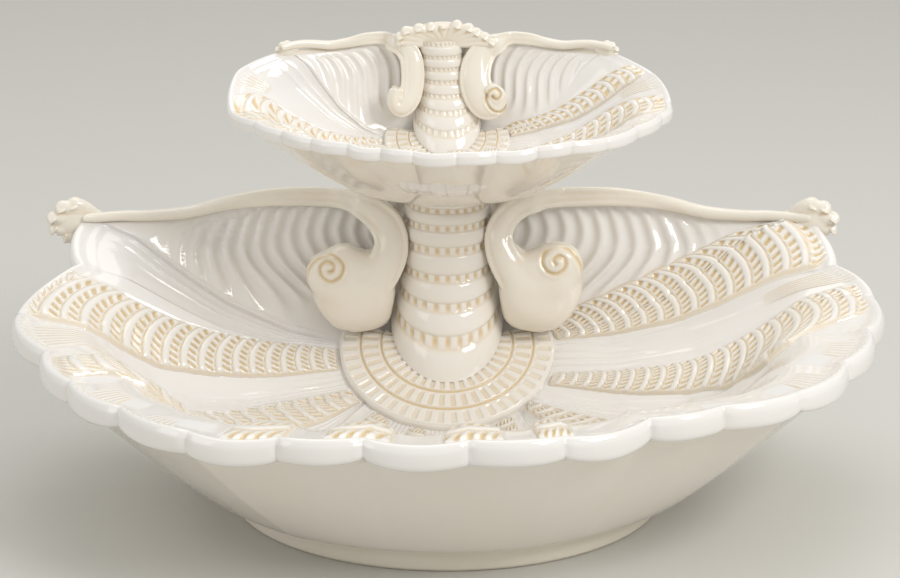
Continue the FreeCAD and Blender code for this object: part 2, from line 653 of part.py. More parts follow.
pieces = []
pieces.append((foot_ring_body(), Placement()))
pieces.append((add_shape("lower_dish", dish_shape(lower, lower_base)), Placement()))
pieces.append(fan_body("lower", lower))
pieces.append((add_shape("lower_column", column_shape(lower, lower_wall).fuse(boss)), Placement()))
upper_dish = dish_shape(upper, upper_base).cut(socket)
pieces.append((add_shape("upper_dish", upper_dish), Placement()))
pieces.append(fan_body("upper", upper))
pieces.append((add_shape("upper_column", column_shape(upper, upper_wall)), Placement()))
for tier, t, wall, stops in (("lower", lower, lower_wall, LOWER_SCROLL_SHARES),
                             ("upper", upper, upper_wall, UPPER_SCROLL_SHARES)):
    for hand, side in (("left", -1), ("right", 1)):
        scroll, ear = scroll_shape(t, wall, stops, side), ear_shape(t, side)
        pieces.append((add_shape("%s_scroll_%s" % (tier, hand), scroll), Placement()))
        pieces.append((add_shape("%s_ear_%s" % (tier, hand), ear), Placement()))
crest = crest_shape(upper["column_front"], upper["column_top_level"])
pieces.append((add_shape("upper_crest", crest), Placement()))

# The origin goes under the middle of the overall box.
box = doc.getObject("lower_dish").Shape.BoundBox
for thing, place in pieces[4:]:
    if thing.TypeId == "Part::Feature":
        box.add(thing.Shape.BoundBox)
shift = Placement(Vector(-box.Center.x, -box.Center.y, 0.0), Rotation())
for thing, place in pieces:
    thing.Placement = shift * place
doc.recompute()

for thing in doc.Objects:
    if "Invalid" in thing.State or "Error" in thing.State:
        raise RuntimeError("%s failed: %s" % (thing.Name, thing.State))
os.makedirs("parts", exist_ok=True)
for thing, place in pieces:
    if thing.Shape.isNull() or not thing.Shape.isValid():
        raise RuntimeError("%s has no valid shape" % thing.Label)
for thing, place in pieces:
    thing.Shape.exportStep(os.path.join("parts", thing.Label + ".step"))
    print(thing.Label, len(thing.Shape.Solids), round(thing.Shape.Volume / 1000.0, 1), "cm3")
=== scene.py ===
import math

import bpy
import numpy as np
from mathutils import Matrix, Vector


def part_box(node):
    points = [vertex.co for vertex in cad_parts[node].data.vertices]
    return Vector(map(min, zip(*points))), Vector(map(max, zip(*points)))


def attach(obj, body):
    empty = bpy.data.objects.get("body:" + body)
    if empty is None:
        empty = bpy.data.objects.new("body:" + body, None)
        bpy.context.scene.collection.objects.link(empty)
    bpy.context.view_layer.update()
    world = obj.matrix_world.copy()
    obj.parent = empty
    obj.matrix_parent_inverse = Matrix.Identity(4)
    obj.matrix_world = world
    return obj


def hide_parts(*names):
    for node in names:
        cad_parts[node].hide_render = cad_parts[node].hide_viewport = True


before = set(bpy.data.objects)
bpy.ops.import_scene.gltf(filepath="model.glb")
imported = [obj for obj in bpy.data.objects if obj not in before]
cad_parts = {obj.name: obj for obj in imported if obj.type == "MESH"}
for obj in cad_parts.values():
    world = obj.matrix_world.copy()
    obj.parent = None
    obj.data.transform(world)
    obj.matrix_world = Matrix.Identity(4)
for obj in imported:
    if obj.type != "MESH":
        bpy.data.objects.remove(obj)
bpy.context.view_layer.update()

bpy.ops.object.select_all(action="DESELECT")

# All modelling is in millimetres about the middle of the foot; SHIFT and MM take it
# to the shared frame when a mesh is filled.
MM = 0.001
FOOT_LOW, FOOT_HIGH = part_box("foot_ring")
SHIFT = np.array((FOOT_LOW[0] + FOOT_HIGH[0], FOOT_LOW[1] + FOOT_HIGH[1], 0.0)) * 0.5 / MM
TILT = math.radians(30.0)
# Points nearer to each other than this, in metres, are welded.
WELD = 0.00002
# Points of the tables that are smoothed over 0 to 1.
FINE_WAY = np.linspace(0, 1, 201)

# Places round a shell count the lobes of its rim, from 0 at the left ear round the front
# to RIGHT_EAR, and then run back along the rail to the left ear, at ROUND.
RIGHT_EAR, ROUND = 18.0, 24.0
RAIL_SPAN = ROUND - RIGHT_EAR
NOTCHES = np.arange(19)
# At each notch: its turn, its share of the full reach, and its share of the rise to the ear.
NOTCH_TURNS = (-92.8, -84.4, -72.7, -57.8, -46.2, -35.8, -25.7, -16.8, -8.4, 2.2, 11.9, 21.9, 30.4, 40.3,
               53.0, 66.0, 79.6, 84.1, 92.8)
LOWER_REACH = (0.752, 0.758, 0.887, 0.899, 0.954, 0.989, 1.029, 1.002, 0.974, 0.975, 0.977, 0.944, 0.956,
               0.974, 0.930, 0.893, 0.869, 0.793, 0.752)
UPPER_REACH = (0.740, 0.938, 0.986, 0.969, 0.960, 0.965, 0.947, 0.940, 0.965, 0.985, 0.975, 0.990, 1.010,
               1.030, 1.010, 1.010, 0.995, 0.920, 0.735)
LOWER_RISE = (1.0, 0.44, 0.04, 0.0, 0.0, 0.0, 0.0, 0.0, 0.0, 0.0, 0.0, 0.035, 0.07, 0.055, 0.035, 0.05,
              0.09, 0.44, 1.0)
UPPER_RISE = (1.0, 0.70, 0.07, 0.11, 0.08, 0.055, 0.04, 0.0, 0.0, 0.0, 0.0, 0.045, 0.09, 0.07, 0.11, 0.15,
              0.19, 0.67, 1.0)
# Each lobe is ribbed, smooth or a leaf, and stands over or under its notches by that.
LOBES = "SRSLLSRSRSRSSLSRSR"
DROOP = {"R": -0.30, "S": 0.15, "L": 0.05}
# Beds of the inside: where each starts along the rim, and at which turn of the fan.
BED_START, BED_TURN = np.array((
    (0.0, -96.0), (1.0, -86.0), (2.0, -64.0), (3.0, -53.0), (4.0, -51.2), (5.0, -49.6), (6.0, -48.0),
    (6.25, -41.0), (7.0, -30.0), (7.55, -19.0), (8.2, -10.0), (8.8, 1.5), (9.4, 13.0), (9.75, 25.0),
    (10.0, 36.0), (10.12, 40.5), (11.0, 46.5), (12.0, 47.5), (13.0, 49.0), (14.0, 51.5), (15.0, 54.0),
    (16.0, 70.0), (17.0, 90.0), (18.0, 104.0))).T
# How far the wall has risen at shares of the way from the fan to the lip.
WAY = (0.0, 0.22, 0.48, 0.62, 0.71, 0.79, 0.87, 1.0)
FRONT_RISE = (0.0, 0.03, 0.13, 0.28, 0.52, 0.78, 0.95, 1.0)
SIDE_RISE = (0.0, 0.10, 0.33, 0.52, 0.65, 0.77, 0.89, 1.0)
BACK_RISE = (0.0, 0.24, 0.51, 0.65, 0.74, 0.82, 0.90, 1.0)
# The lip, from where the wall ends over its roll to its underside: inwards and up, by the roll.
LIP = (
    (2.6, -0.75), (2.1, -0.66), (1.6, -0.46), (1.15, -0.18), (0.8, -0.02), (0.45, -0.03), (0.18, -0.3),
    (0.0, -0.85), (-0.04, -1.6), (0.0, -2.4), (0.14, -2.85), (0.5, -3.14), (1.5, -3.2))
WALL_DROP, LIP_HEIGHT = 0.75, 3.2

# Both shells, by the same words: reach, rim and ear of the outline, the rail behind it, the lip,
# the fan on its plane, and the base that the outside starts from.
LOWER = dict(
    name="lower", body="lower_tier", shares=LOWER_REACH, rises=LOWER_RISE, reach=273.0, back=85.0,
    level=58.0, rim=96.0, ear=128.0, rail=139.0, rail_back=32.0, rail_half=214.0, lip=13.5, roll=5.0,
    bulge=4.5, relief=4.0, fan=61.0, fan_thick=6.0, gap=1.2, base=(120.0, 114.2, 0.0, 14.0), scale=1.0)
UPPER = dict(
    name="upper", body="upper_tier", shares=UPPER_REACH, rises=UPPER_RISE, reach=125.0, back=96.0,
    level=175.0, rim=195.0, ear=222.0, rail=228.0, rail_back=22.0, rail_half=88.0, lip=7.5, roll=3.2,
    bulge=2.0, relief=2.2, fan=35.0, fan_thick=4.0, gap=0.8, base=(38.0, 22.0, 89.0, 144.0), scale=0.5)


def smoothed(stations, table, reach, spread):
    """A table as a fine, rounded curve over 0 to 1."""
    fine = np.interp(FINE_WAY, stations, table)
    pad = np.concatenate((2 * fine[0] - fine[reach:0:-1], fine, 2 * fine[-1] - fine[-2:-reach - 2:-1]))
    kernel = np.exp(-np.linspace(-spread, spread, 2 * reach + 1) ** 2)
    return np.convolve(pad, kernel / kernel.sum(), mode="valid")


RISE_CURVES = [smoothed(WAY, rise, 12, 2.2) for rise in (FRONT_RISE, SIDE_RISE, BACK_RISE)]


def fan_plane(t, across, ahead, drop=0.0):
    """Points on the tilted plane of the fan, or under it."""
    across, ahead = np.broadcast_arrays(across, ahead)
    return np.stack((across, t["back"] - ahead * math.cos(TILT) + drop * math.sin(TILT),
                     t["level"] - ahead * math.sin(TILT) - drop * math.cos(TILT)), axis=-1)


def fan_edge(t, turn):
    """Where the wall meets the floor, round the fan and flat behind it."""
    a = np.radians(turn)
    ahead = np.cos(a)
    ahead = np.where(ahead < 0, -0.34 * np.abs(ahead) ** 0.6, ahead)
    r = t["fan"] + t["gap"]
    return fan_plane(t, r * np.sin(a), r * ahead, t["fan_thick"])


def rail_share(s):
    """How far along the rail a place is, from the right ear (0) back to the left one (1)."""
    return np.clip((s - RIGHT_EAR) / RAIL_SPAN, 0, 1)


def outline(t, s):
    """Inner edge, rim, and the shares of side and back wall, at places s round a shell."""
    s = np.asarray(s, float)
    k = np.clip(s.astype(int), 0, len(LOBES) - 1)
    swell = np.where(s < RIGHT_EAR, np.abs(np.sin(np.pi * (s - k))) ** 0.75, 0.0)
    turn = np.interp(s, NOTCHES, NOTCH_TURNS)
    reach = t["reach"] * np.interp(s, NOTCHES, t["shares"]) + t["bulge"] * swell
    droop = np.array([DROOP[kind] for kind in LOBES])[k]
    lift = t["ear"] - t["rim"]
    level = t["rim"] + lift * np.interp(s, NOTCHES, t["rises"]) + t["bulge"] * droop * swell
    a = np.radians(turn)
    rim = np.stack((reach * np.sin(a), t["back"] - reach * np.cos(a), level), axis=-1)
    inner = fan_edge(t, np.interp(s, BED_START, BED_TURN))
    side = np.clip((np.abs(turn) - 68.0) / 14.0, 0, 1)
    # the rail, from the right ear back to the left one
    c = rail_share(s)
    ear_x, ear_y = rim_end(t)
    rail_y = t["back"] + t["rail_back"]
    cos = np.cos(np.pi * c)
    x = cos * (ear_x + (t["rail_half"] - ear_x) * np.sin(np.pi * c))
    y = rail_y + (ear_y - t["back"] - t["rail_back"]) * np.abs(cos) ** 4
    z = t["rail"] + (t["ear"] - t["rail"]) * ramp(np.abs(cos), 0.46, 0.77)
    on_rail = s > RIGHT_EAR
    rim = np.where(on_rail[:, None], np.stack((x, y, z), axis=-1), rim)
    behind = fan_edge(t, BED_TURN[-1] + c * (360.0 + BED_TURN[0] - BED_TURN[-1]))
    inner = np.where(on_rail[:, None], behind, inner)
    back = np.where(on_rail, np.clip(np.sin(np.pi * c) * 2, 0, 1), 0.0)
    return inner, rim, np.where(on_rail, 1.0, side), back


def rim_end(t):
    """Where the rim ends at the right ear, as x and y."""
    a = math.radians(NOTCH_TURNS[-1])
    reach = t["reach"] * t["shares"][-1]
    return reach * math.sin(a), t["back"] - reach * math.cos(a)


def wall(t, s, way):
    """The inside of a shell without its relief: rows of way by columns of s."""
    inner, rim, side, back = outline(t, s)
    length = np.linalg.norm((inner - rim)[:, :2], axis=1)
    last = 1.0 - np.minimum(0.5, LIP[0][0] * t["roll"] / length)
    w = np.clip(np.asarray(way, float), 0, 1)
    front_z, side_z, back_z = [np.interp(w, FINE_WAY, curve)[:, None] for curve in RISE_CURVES]
    rise = front_z + (side_z - front_z) * side
    rise = rise + (back_z - rise) * back
    flat = inner[None, :, :2] + (rim - inner)[None, :, :2] * (w[:, None] * last)[:, :, None]
    z = inner[:, 2] + (rim[:, 2] - WALL_DROP * t["roll"] - inner[:, 2]) * rise
    return np.concatenate((flat, z[:, :, None]), axis=2)


def unit(v):
    """Vectors of length 1."""
    return v / np.maximum(np.linalg.norm(v, axis=-1, keepdims=True), 1e-9)


def normals(grid):
    """Unit normals of a grid that closes on itself, turned to the open side (up, or to the front)."""
    across = np.roll(grid, -1, axis=1) - np.roll(grid, 1, axis=1)
    n = unit(np.cross(across, np.gradient(grid, axis=0)))
    return n * np.where(n[:, :, 2:] - 0.3 * n[:, :, 1:2] < 0, -1.0, 1.0)


def strip_normals(grid):
    """Unit normals of an open strip, all on the side that is up at its start."""
    n = unit(np.cross(np.gradient(grid, axis=1), np.gradient(grid, axis=0)))
    return n if n[:len(n) // 3, :, 2].mean() > 0 else -n


def ramp(x, a, b):
    """0 before a, 1 after b, eased between."""
    u = np.clip((x - a) / (b - a), 0, 1)
    return u * u * (3 - 2 * u)


# Meshes
def only(*pieces):
    """Selects these pieces alone and makes the first one active."""
    bpy.ops.object.select_all(action="DESELECT")
    for piece in pieces:
        piece.select_set(True)
    bpy.context.view_layer.objects.active = pieces[0]


def paint(piece, key, values):
    """Writes a number for each point of a piece, or one for all, to the named attribute."""
    mesh = piece.data
    layer = mesh.attributes.get(key) or mesh.attributes.new(key, "FLOAT", "POINT")
    layer.data.foreach_set("value", np.broadcast_to(values, (len(mesh.vertices),)).astype(np.float32))


def points_and_normals(piece):
    """A piece's points in millimetres, and the ways they face."""
    mesh = piece.data
    points, facing = (np.empty(3 * len(mesh.vertices), np.float32) for _ in range(2))
    mesh.vertices.foreach_get("co", points)
    mesh.vertex_normals.foreach_get("vector", facing)
    return points.reshape(-1, 3).astype(float) / MM, facing.reshape(-1, 3)


def fill_grid(name, grid, around=False, wash=0.0, warm=0.0):
    """A grid primitive whose points are moved onto the given rows and columns."""
    layers = [np.broadcast_to(values, grid.shape[:2]) for values in (wash, warm)]
    if around:
        grid, *layers = [np.concatenate((rows, rows[:, :1]), axis=1) for rows in (grid, *layers)]
    rows, columns = grid.shape[:2]
    bpy.ops.mesh.primitive_grid_add(x_subdivisions=columns - 1, y_subdivisions=rows - 1, size=1.0)
    piece = bpy.context.object
    piece.name = piece.data.name = name
    points = (grid.reshape(-1, 3) + SHIFT) * MM
    piece.data.vertices.foreach_set("co", points.ravel().astype(np.float32))
    for key, values in zip(("wash", "warm"), layers):
        paint(piece, key, values.ravel())
    while piece.data.uv_layers:
        piece.data.uv_layers.remove(piece.data.uv_layers[0])
    piece.data.update()
    return piece


def edit(piece, *steps):
    """Runs mesh operators on all of a piece in edit mode."""
    only(piece)
    bpy.ops.object.mode_set(mode="EDIT")
    bpy.ops.mesh.select_all(action="SELECT")
    for step in steps:
        step()
    bpy.ops.object.mode_set(mode="OBJECT")


def weld(piece):
    """Closes seams and poles and turns the faces outwards."""
    edit(piece, lambda: bpy.ops.mesh.remove_doubles(threshold=WELD),
         lambda: bpy.ops.mesh.normals_make_consistent(inside=False))
    bpy.ops.object.shade_smooth()
    return piece


def face_up(piece):
    """Turns an open skin's faces to its upper side."""
    if sum(p.normal.z * p.area for p in piece.data.polygons) < 0:
        edit(piece, bpy.ops.mesh.flip_normals)
    only(piece)
    bpy.ops.object.shade_smooth()
    return piece


def hollows(piece, steps, depth):
    """Marks where a mesh lies below its surroundings, where the wash pools."""
    place, facing = points_and_normals(piece)
    n = len(place)
    ends = np.empty(len(piece.data.edges) * 2, np.int32)
    piece.data.edges.foreach_get("vertices", ends)
    a, b = ends[0::2], ends[1::2]
    count = np.bincount(ends, minlength=n).astype(float)
    soft = place.copy()
    for _ in range(steps):
        total = np.stack([np.bincount(a, soft[b, i], n) + np.bincount(b, soft[a, i], n)
                          for i in range(3)], axis=1)
        soft = 0.4 * soft + 0.6 * total / np.maximum(count, 1)[:, None]
    sunk = ((soft - place) * facing).sum(axis=1)
    paint(piece, "wash", np.clip(sunk / depth, 0, 1))
    return piece


def engrave(piece, line, depth, half):
    """Presses a line into the front of a piece, with the wash pooled in it; line is x and z."""
    mesh = piece.data
    place, facing = points_and_normals(piece)
    place -= SHIFT
    in_front = ramp(-facing[:, 1], 0.15, 0.5)
    away = np.full(len(place), 1e9)
    for x, z in line:
        away = np.minimum(away, (place[:, 0] - x) ** 2 + (place[:, 2] - z) ** 2)
    mark = np.exp(-away / half ** 2) * in_front
    beside = np.exp(-((np.sqrt(away) - 2.2 * half) / half) ** 2) * in_front
    place[:, 1] += depth * mark - 0.3 * depth * beside
    mesh.vertices.foreach_set("co", ((place + SHIFT) * MM).ravel().astype(np.float32))
    mesh.update()
    wash = np.empty(len(place), np.float32)
    mesh.attributes["wash"].data.foreach_get("value", wash)
    paint(piece, "wash", np.clip(np.maximum(wash, mark), 0, 1))


def apply_modifier(piece, kind, **settings):
    """Adds a modifier with these settings and applies it."""
    only(piece)
    modifier = piece.modifiers.new(kind.lower(), kind)
    for key, value in settings.items():
        setattr(modifier, key, value)
    bpy.ops.object.modifier_apply(modifier=modifier.name)


def fuse(name, parts, voxel, soften):
    """Joins closed parts into one skin with soft inner corners, as wet clay is luted."""
    only(*parts)
    bpy.ops.object.join()
    piece = bpy.context.object
    piece.name = piece.data.name = name
    apply_modifier(piece, "REMESH", mode="VOXEL", voxel_size=voxel * MM, use_smooth_shade=True)
    apply_modifier(piece, "SMOOTH", factor=0.5, iterations=soften)
    bpy.ops.object.shade_smooth()
    return piece


def curve_through(stops, steps):
    """Catmull-Rom through rows of numbers, with even steps between stops."""
    p = np.asarray(stops, float)
    p = np.vstack((2 * p[0] - p[1], p, 2 * p[-1] - p[-2]))
    out = []
    for i in range(1, len(p) - 2):
        u = np.linspace(0, 1, steps, endpoint=False)[:, None]
        a, b, c, d = p[i - 1], p[i], p[i + 1], p[i + 2]
        out.append(0.5 * (2 * b + (c - a) * u + (2 * a - 5 * b + 4 * c - d) * u ** 2
                          + (3 * b - a - 3 * c + d) * u ** 3))
    out.append(p[-2][None])
    return np.vstack(out)


def pole(ring):
    """A row of points in the middle of a ring, which closes a grid there."""
    return np.broadcast_to(ring.mean(axis=0), (1, *ring.shape))


def swept(name, middle, half, depth, sides, deep=(0.0, 1.0, 0.0), power=1.0):
    """An oval section swept along a path; half is in the plane of the path, depth along deep."""
    deep = np.array(deep)
    way = np.gradient(middle, axis=0)
    way = unit(way - (way @ deep)[:, None] * deep)
    across = np.cross(way, deep)
    a = np.linspace(0, 2 * np.pi, sides, endpoint=False)
    c = np.sign(np.cos(a)) * np.abs(np.cos(a)) ** power
    d = np.sign(np.sin(a)) * np.abs(np.sin(a)) ** power
    rings = (middle[:, None] + across[:, None] * (half[:, None] * c)[:, :, None]
             + deep * (depth[:, None] * d)[:, :, None])
    return weld(fill_grid(name, np.concatenate((pole(rings[0]), rings, pole(rings[-1]))), around=True))


# Finishes
def wash_group():
    """Glaze over clay: white where it is thick, a beige wash where it pools in the carving."""
    group = bpy.data.node_groups.new("pooled_glaze", "ShaderNodeTree")
    for name, value in (("White", (0.835, 0.81, 0.785, 1)), ("Ivory", (0.83, 0.755, 0.62, 1)),
                        ("Wash", (0.68, 0.49, 0.225, 1)), ("Strength", 1.0)):
        kind = "NodeSocketFloat" if name == "Strength" else "NodeSocketColor"
        group.interface.new_socket(name, in_out="INPUT", socket_type=kind).default_value = value
    for name, kind in (("Color", "Color"), ("Roughness", "Float"), ("Normal", "Vector")):
        group.interface.new_socket(name, in_out="OUTPUT", socket_type="NodeSocket" + kind)
    nodes, links = group.nodes, group.links
    given, out = nodes.new("NodeGroupInput"), nodes.new("NodeGroupOutput")
    place = nodes.new("ShaderNodeTexCoord").outputs["Object"]

    def attribute(name):
        node = nodes.new("ShaderNodeAttribute")
        node.attribute_name = name
        return node.outputs["Fac"]

    def noise(scale, detail):
        node = nodes.new("ShaderNodeTexNoise")
        node.inputs["Scale"].default_value = scale
        node.inputs["Detail"].default_value = detail
        links.new(place, node.inputs["Vector"])
        return node.outputs["Fac"]

    def arithmetic(kind, a, b, clamp=False):
        node = nodes.new("ShaderNodeMath")
        node.operation, node.use_clamp = kind, clamp
        for socket, value in zip(node.inputs, (a, b)):
            if isinstance(value, (int, float)):
                socket.default_value = value
            else:
                links.new(value, socket)
        return node.outputs[0]

    def blended(share, low, high):
        node = nodes.new("ShaderNodeMix")
        node.data_type = "RGBA"
        # its colours go in at 6 and 7 and come out at 2
        links.new(share, node.inputs[0])
        links.new(low, node.inputs[6])
        links.new(high, node.inputs[7])
        return node.outputs[2]

    cloud = arithmetic("MULTIPLY", arithmetic("SUBTRACT", noise(28.0, 3.0), 0.5), 0.4)
    tone = arithmetic("ADD", attribute("warm"), cloud, True)
    body = blended(tone, given.outputs["White"], given.outputs["Ivory"])
    fleck = arithmetic("ADD", 0.72, arithmetic("MULTIPLY", noise(240.0, 2.0), 0.5))
    pooled = arithmetic("MULTIPLY", attribute("wash"), fleck)
    amount = arithmetic("MULTIPLY", pooled, given.outputs["Strength"], True)
    links.new(blended(amount, body, given.outputs["Wash"]), out.inputs["Color"])
    links.new(arithmetic("ADD", 0.07, arithmetic("MULTIPLY", amount, 0.10)), out.inputs["Roughness"])
    bump = nodes.new("ShaderNodeBump")
    bump.inputs["Strength"].default_value = 0.06
    bump.inputs["Distance"].default_value = 0.002
    links.new(noise(65.0, 1.0), bump.inputs["Height"])
    links.new(bump.outputs["Normal"], out.inputs["Normal"])
    return group


GLAZE = wash_group()


def glaze(name, strength):
    """A glossy material that takes its colour, gloss and waves from the pooled glaze."""
    material = bpy.data.materials.new(name)
    material.use_nodes = True
    nodes, links = material.node_tree.nodes, material.node_tree.links
    shader = nodes["Principled BSDF"]
    pooled = nodes.new("ShaderNodeGroup")
    pooled.node_tree = GLAZE
    pooled.inputs["Strength"].default_value = strength
    for given, taken in (("Color", "Base Color"), ("Roughness", "Roughness"), ("Normal", "Normal")):
        links.new(pooled.outputs[given], shader.inputs[taken])
    shader.inputs["IOR"].default_value = 1.52
    shader.inputs["Coat Weight"].default_value = 0.35
    shader.inputs["Coat Roughness"].default_value = 0.03
    return material


shell_glaze = glaze("shell_glaze", 0.9)
carved_glaze = glaze("carved_glaze", 1.0)
scroll_glaze = glaze("scroll_glaze", 0.9)


def finish_piece(piece, t, material, slot, *replaced):
    """Gives a piece its glaze and its body, and hides the CAD nodes it stands for; slot is not used."""
    body = t["body"]
    piece.data.materials.clear()
    piece.data.materials.append(material)
    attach(piece, body)
    if replaced:
        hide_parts(*replaced)
    return piece


# Shells

# Each carved bed has an edge towards the back and one towards the front, as places round
# the shell at shares of the way from the fan (0) to the lip (1) and over it.
LOWER_BEDS = {
    "bed_left_high": (
        ((0, .70), (.17, .82), (.31, 1.01), (.44, 1.09), (.61, 1.20), (.81, 1.20), (1, 1.12), (1.5, 1.02)),
        ((0, 1.56), (.16, 1.72), (.32, 1.87), (.53, 1.94), (.68, 2.06), (.78, 2.16), (.85, 2.2), (1, 2.0),
         (1.5, 1.98))),
    "bed_left_low": (
        ((0, 2.28), (.07, 2.43), (.19, 2.54), (.32, 2.76), (.46, 2.97), (.65, 3.35), (.85, 3.2),
         (1.3, 3.02)),
        ((0, 4.98), (.15, 5.17), (.40, 4.95), (.60, 4.80), (.75, 4.3), (.9, 3.85), (1.3, 3.4))),
    "front_a": (((0, 6.25), (1.5, 6.25)), ((0, 7.0), (1.5, 7.0))),
    "front_b": (((0, 7.55), (1.5, 7.4)), ((0, 8.2), (1.5, 8.3))),
    "front_c": (((0, 8.8), (1.5, 8.7)), ((0, 9.4), (1.5, 9.4))),
    "front_d": (((0, 9.75), (1.5, 9.7)), ((0, 10.0), (.5, 10.0), (1.5, 10.3))),
    "front_e": (((0, 10.5), (.13, 10.94), (.30, 11.2), (.37, 11.5), (.43, 12.4), (.50, 13.2)),
                ((0, 13.45), (.39, 13.70), (.50, 13.7))),
    "bed_right_mid": (
        ((0, 15.56), (.19, 15.37), (.31, 15.26), (.53, 15.23), (.62, 15.13), (.75, 14.8), (.82, 14.89),
         (.93, 15.44), (1, 15.6), (1.2, 15.7)),
        ((0, 16.10), (.27, 15.99), (.39, 15.92), (.54, 15.96), (.69, 16.08), (.76, 16.2), (.84, 16.34),
         (1, 16.42), (1.2, 16.42))),
    "bed_right_high": (
        ((0, 17.38), (.17, 17.33), (.30, 17.2), (.44, 17.1), (.67, 17.0), (1, 17.02), (1.2, 17.1)),
        ((0, 19.0), (.30, 18.92), (.55, 18.88), (.84, 18.82), (1, 18.68), (1.2, 18.5)))}
UPPER_BEDS = dict(
    LOWER_BEDS,
    bed_left_high=(
        ((0, .55), (.31, 1.12), (.50, 1.22), (.65, 1.27), (.80, 1.28), (.93, 1.31), (1, 1.40), (1.4, 1.55)),
        ((0, 1.10), (.20, 1.75), (.45, 2.1), (.65, 2.2), (.80, 2.3), (.90, 2.5), (1, 2.6), (1.4, 2.7))),
    bed_right_mid=(
        ((0, 15.7), (.45, 15.85), (.65, 15.70), (.80, 15.5), (.92, 15.4), (1, 15.5), (1.2, 15.6)),
        ((0, 16.3), (.35, 16.44), (.55, 16.56), (.72, 16.60), (.86, 16.46), (.96, 16.33), (1.2, 16.3))),
    bed_right_high=(
        ((0, 17.28), (.23, 17.25), (.44, 16.98), (.60, 16.88), (.75, 16.86), (.91, 16.90), (1, 17.0),
         (1.2, 17.1)),
        ((0, 18.8), (.13, 18.65), (.35, 18.15), (.55, 17.80), (.71, 17.62), (.87, 17.52), (1, 17.5),
         (1.2, 17.5))))
LOWER["beds"], UPPER["beds"] = LOWER_BEDS, UPPER_BEDS
# The relief ends at this place, under the right ear.
RELIEF_END = 17.4
# Thin ridges between the left smooth bed and the back wall.
RIDGES = (0.42, 0.22, 0.04, -0.14)
# Rows of points up a wall, and the rows of the lip over which its relief fades.
WALL_ROWS, FADE_ROWS = 60, 6


def bed_edges(beds, name, way):
    """Both edges of a carved bed at a share of the way."""
    return [np.interp(way, *zip(*edge)) for edge in beds[name]]


def shell_columns():
    """Places round a shell, closer together where there is more relief."""
    parts = [lobe + np.linspace(0, 1, 64 if lobe in (0, 2, 16) else 42, endpoint=False)
             for lobe in range(len(LOBES))]
    parts.append(RIGHT_EAR + RAIL_SPAN * np.linspace(0, 1, 280, endpoint=False))
    return np.concatenate(parts)


def bed_relief(t, s, way):
    """How far the inside stands out from its plain wall: hollow between the carved beds."""
    relief = np.zeros((len(way), len(s)))
    front = s <= RIGHT_EAR
    carved = s < RELIEF_END
    swell = np.where(front, np.abs(np.sin(np.pi * s)), 0.0)
    for i, w in enumerate(way):
        edges = [-0.4]
        for name, (back_edge, _) in t["beds"].items():
            if w <= back_edge[-1][0]:
                edges += bed_edges(t["beds"], name, w)
        edges = np.array(edges + [ROUND])
        k = np.clip(np.searchsorted(edges, s, side="right") - 1, 0, len(edges) - 2)
        wide = edges[k + 1] - edges[k]
        u = np.clip((s - edges[k]) / wide, 0, 1)
        hollow = (k % 2 == 0) & carved
        depth = t["relief"] * np.minimum(1.0, 0.25 + 0.5 * wide) * np.sin(np.pi * u)
        fade = math.sin(math.pi * min(0.5, 0.05 + w)) * (1 - 0.7 * ramp(w, 0.72, 0.95))
        relief[i] = np.where(hollow, -depth, -0.3 * t["relief"] * carved) * fade
        # fine lines along the smooth beds where they leave the fan
        lines = np.abs(np.sin(np.pi * 5 * u)) * 0.7 * t["scale"]
        relief[i] -= np.where(hollow & front, lines, 0.0) * (1 - ramp(w, 0.12, 0.45))
        # the lobes of the rim start to show near the lip
        relief[i] -= t["bulge"] * 0.25 * (1 - swell) * front * ramp(w, 0.7, 1.0)
        for place in RIDGES:
            away = np.minimum(np.abs(s - place), np.abs(s - ROUND - place))
            ridge = 0.8 * t["scale"] * np.exp(-(away / 0.035) ** 2)
            relief[i] += ridge * ramp(w, 0.02, 0.2) * (1 - ramp(w, 0.8, 1.0))
    return relief


def flutes(t, grid, s, way):
    """The bent flutes of the back wall, by their place across and up it."""
    x, w = grid[:, :, 0], way[:, None]
    sc = t["scale"]
    far = np.abs(x) / sc
    if t is LOWER:
        bend = 9.0 * np.sin(np.pi * np.clip((w - 0.25) / 0.75, 0, 1)) - 17.0 * (1 - ramp(w, 0.15, 0.75))
        q = (far - bend) / np.where(x < 0, 9.0, 10.0)
        reach = 1 - ramp(far, 132.0, 165.0)
    else:
        bend = -44.0 * (1 - w) + 7.0 * np.sin(np.pi * 2 * w)
        q = (far - bend) / 12.5
        reach = 1 - ramp(far, 130.0, 165.0)
    band = ramp(w, 0.16, 0.42) * (1 - ramp(w, 0.90, 0.98))
    behind = np.clip(np.sin(np.pi * rail_share(s)) * 3, 0, 1)
    wave = 2 * (0.5 + 0.5 * np.cos(2 * np.pi * q)) ** 1.5 - 1
    return 1.3 * sc ** 0.8 * wave * reach * band * behind


LIP_STOPS = curve_through(LIP, 2)[1:]


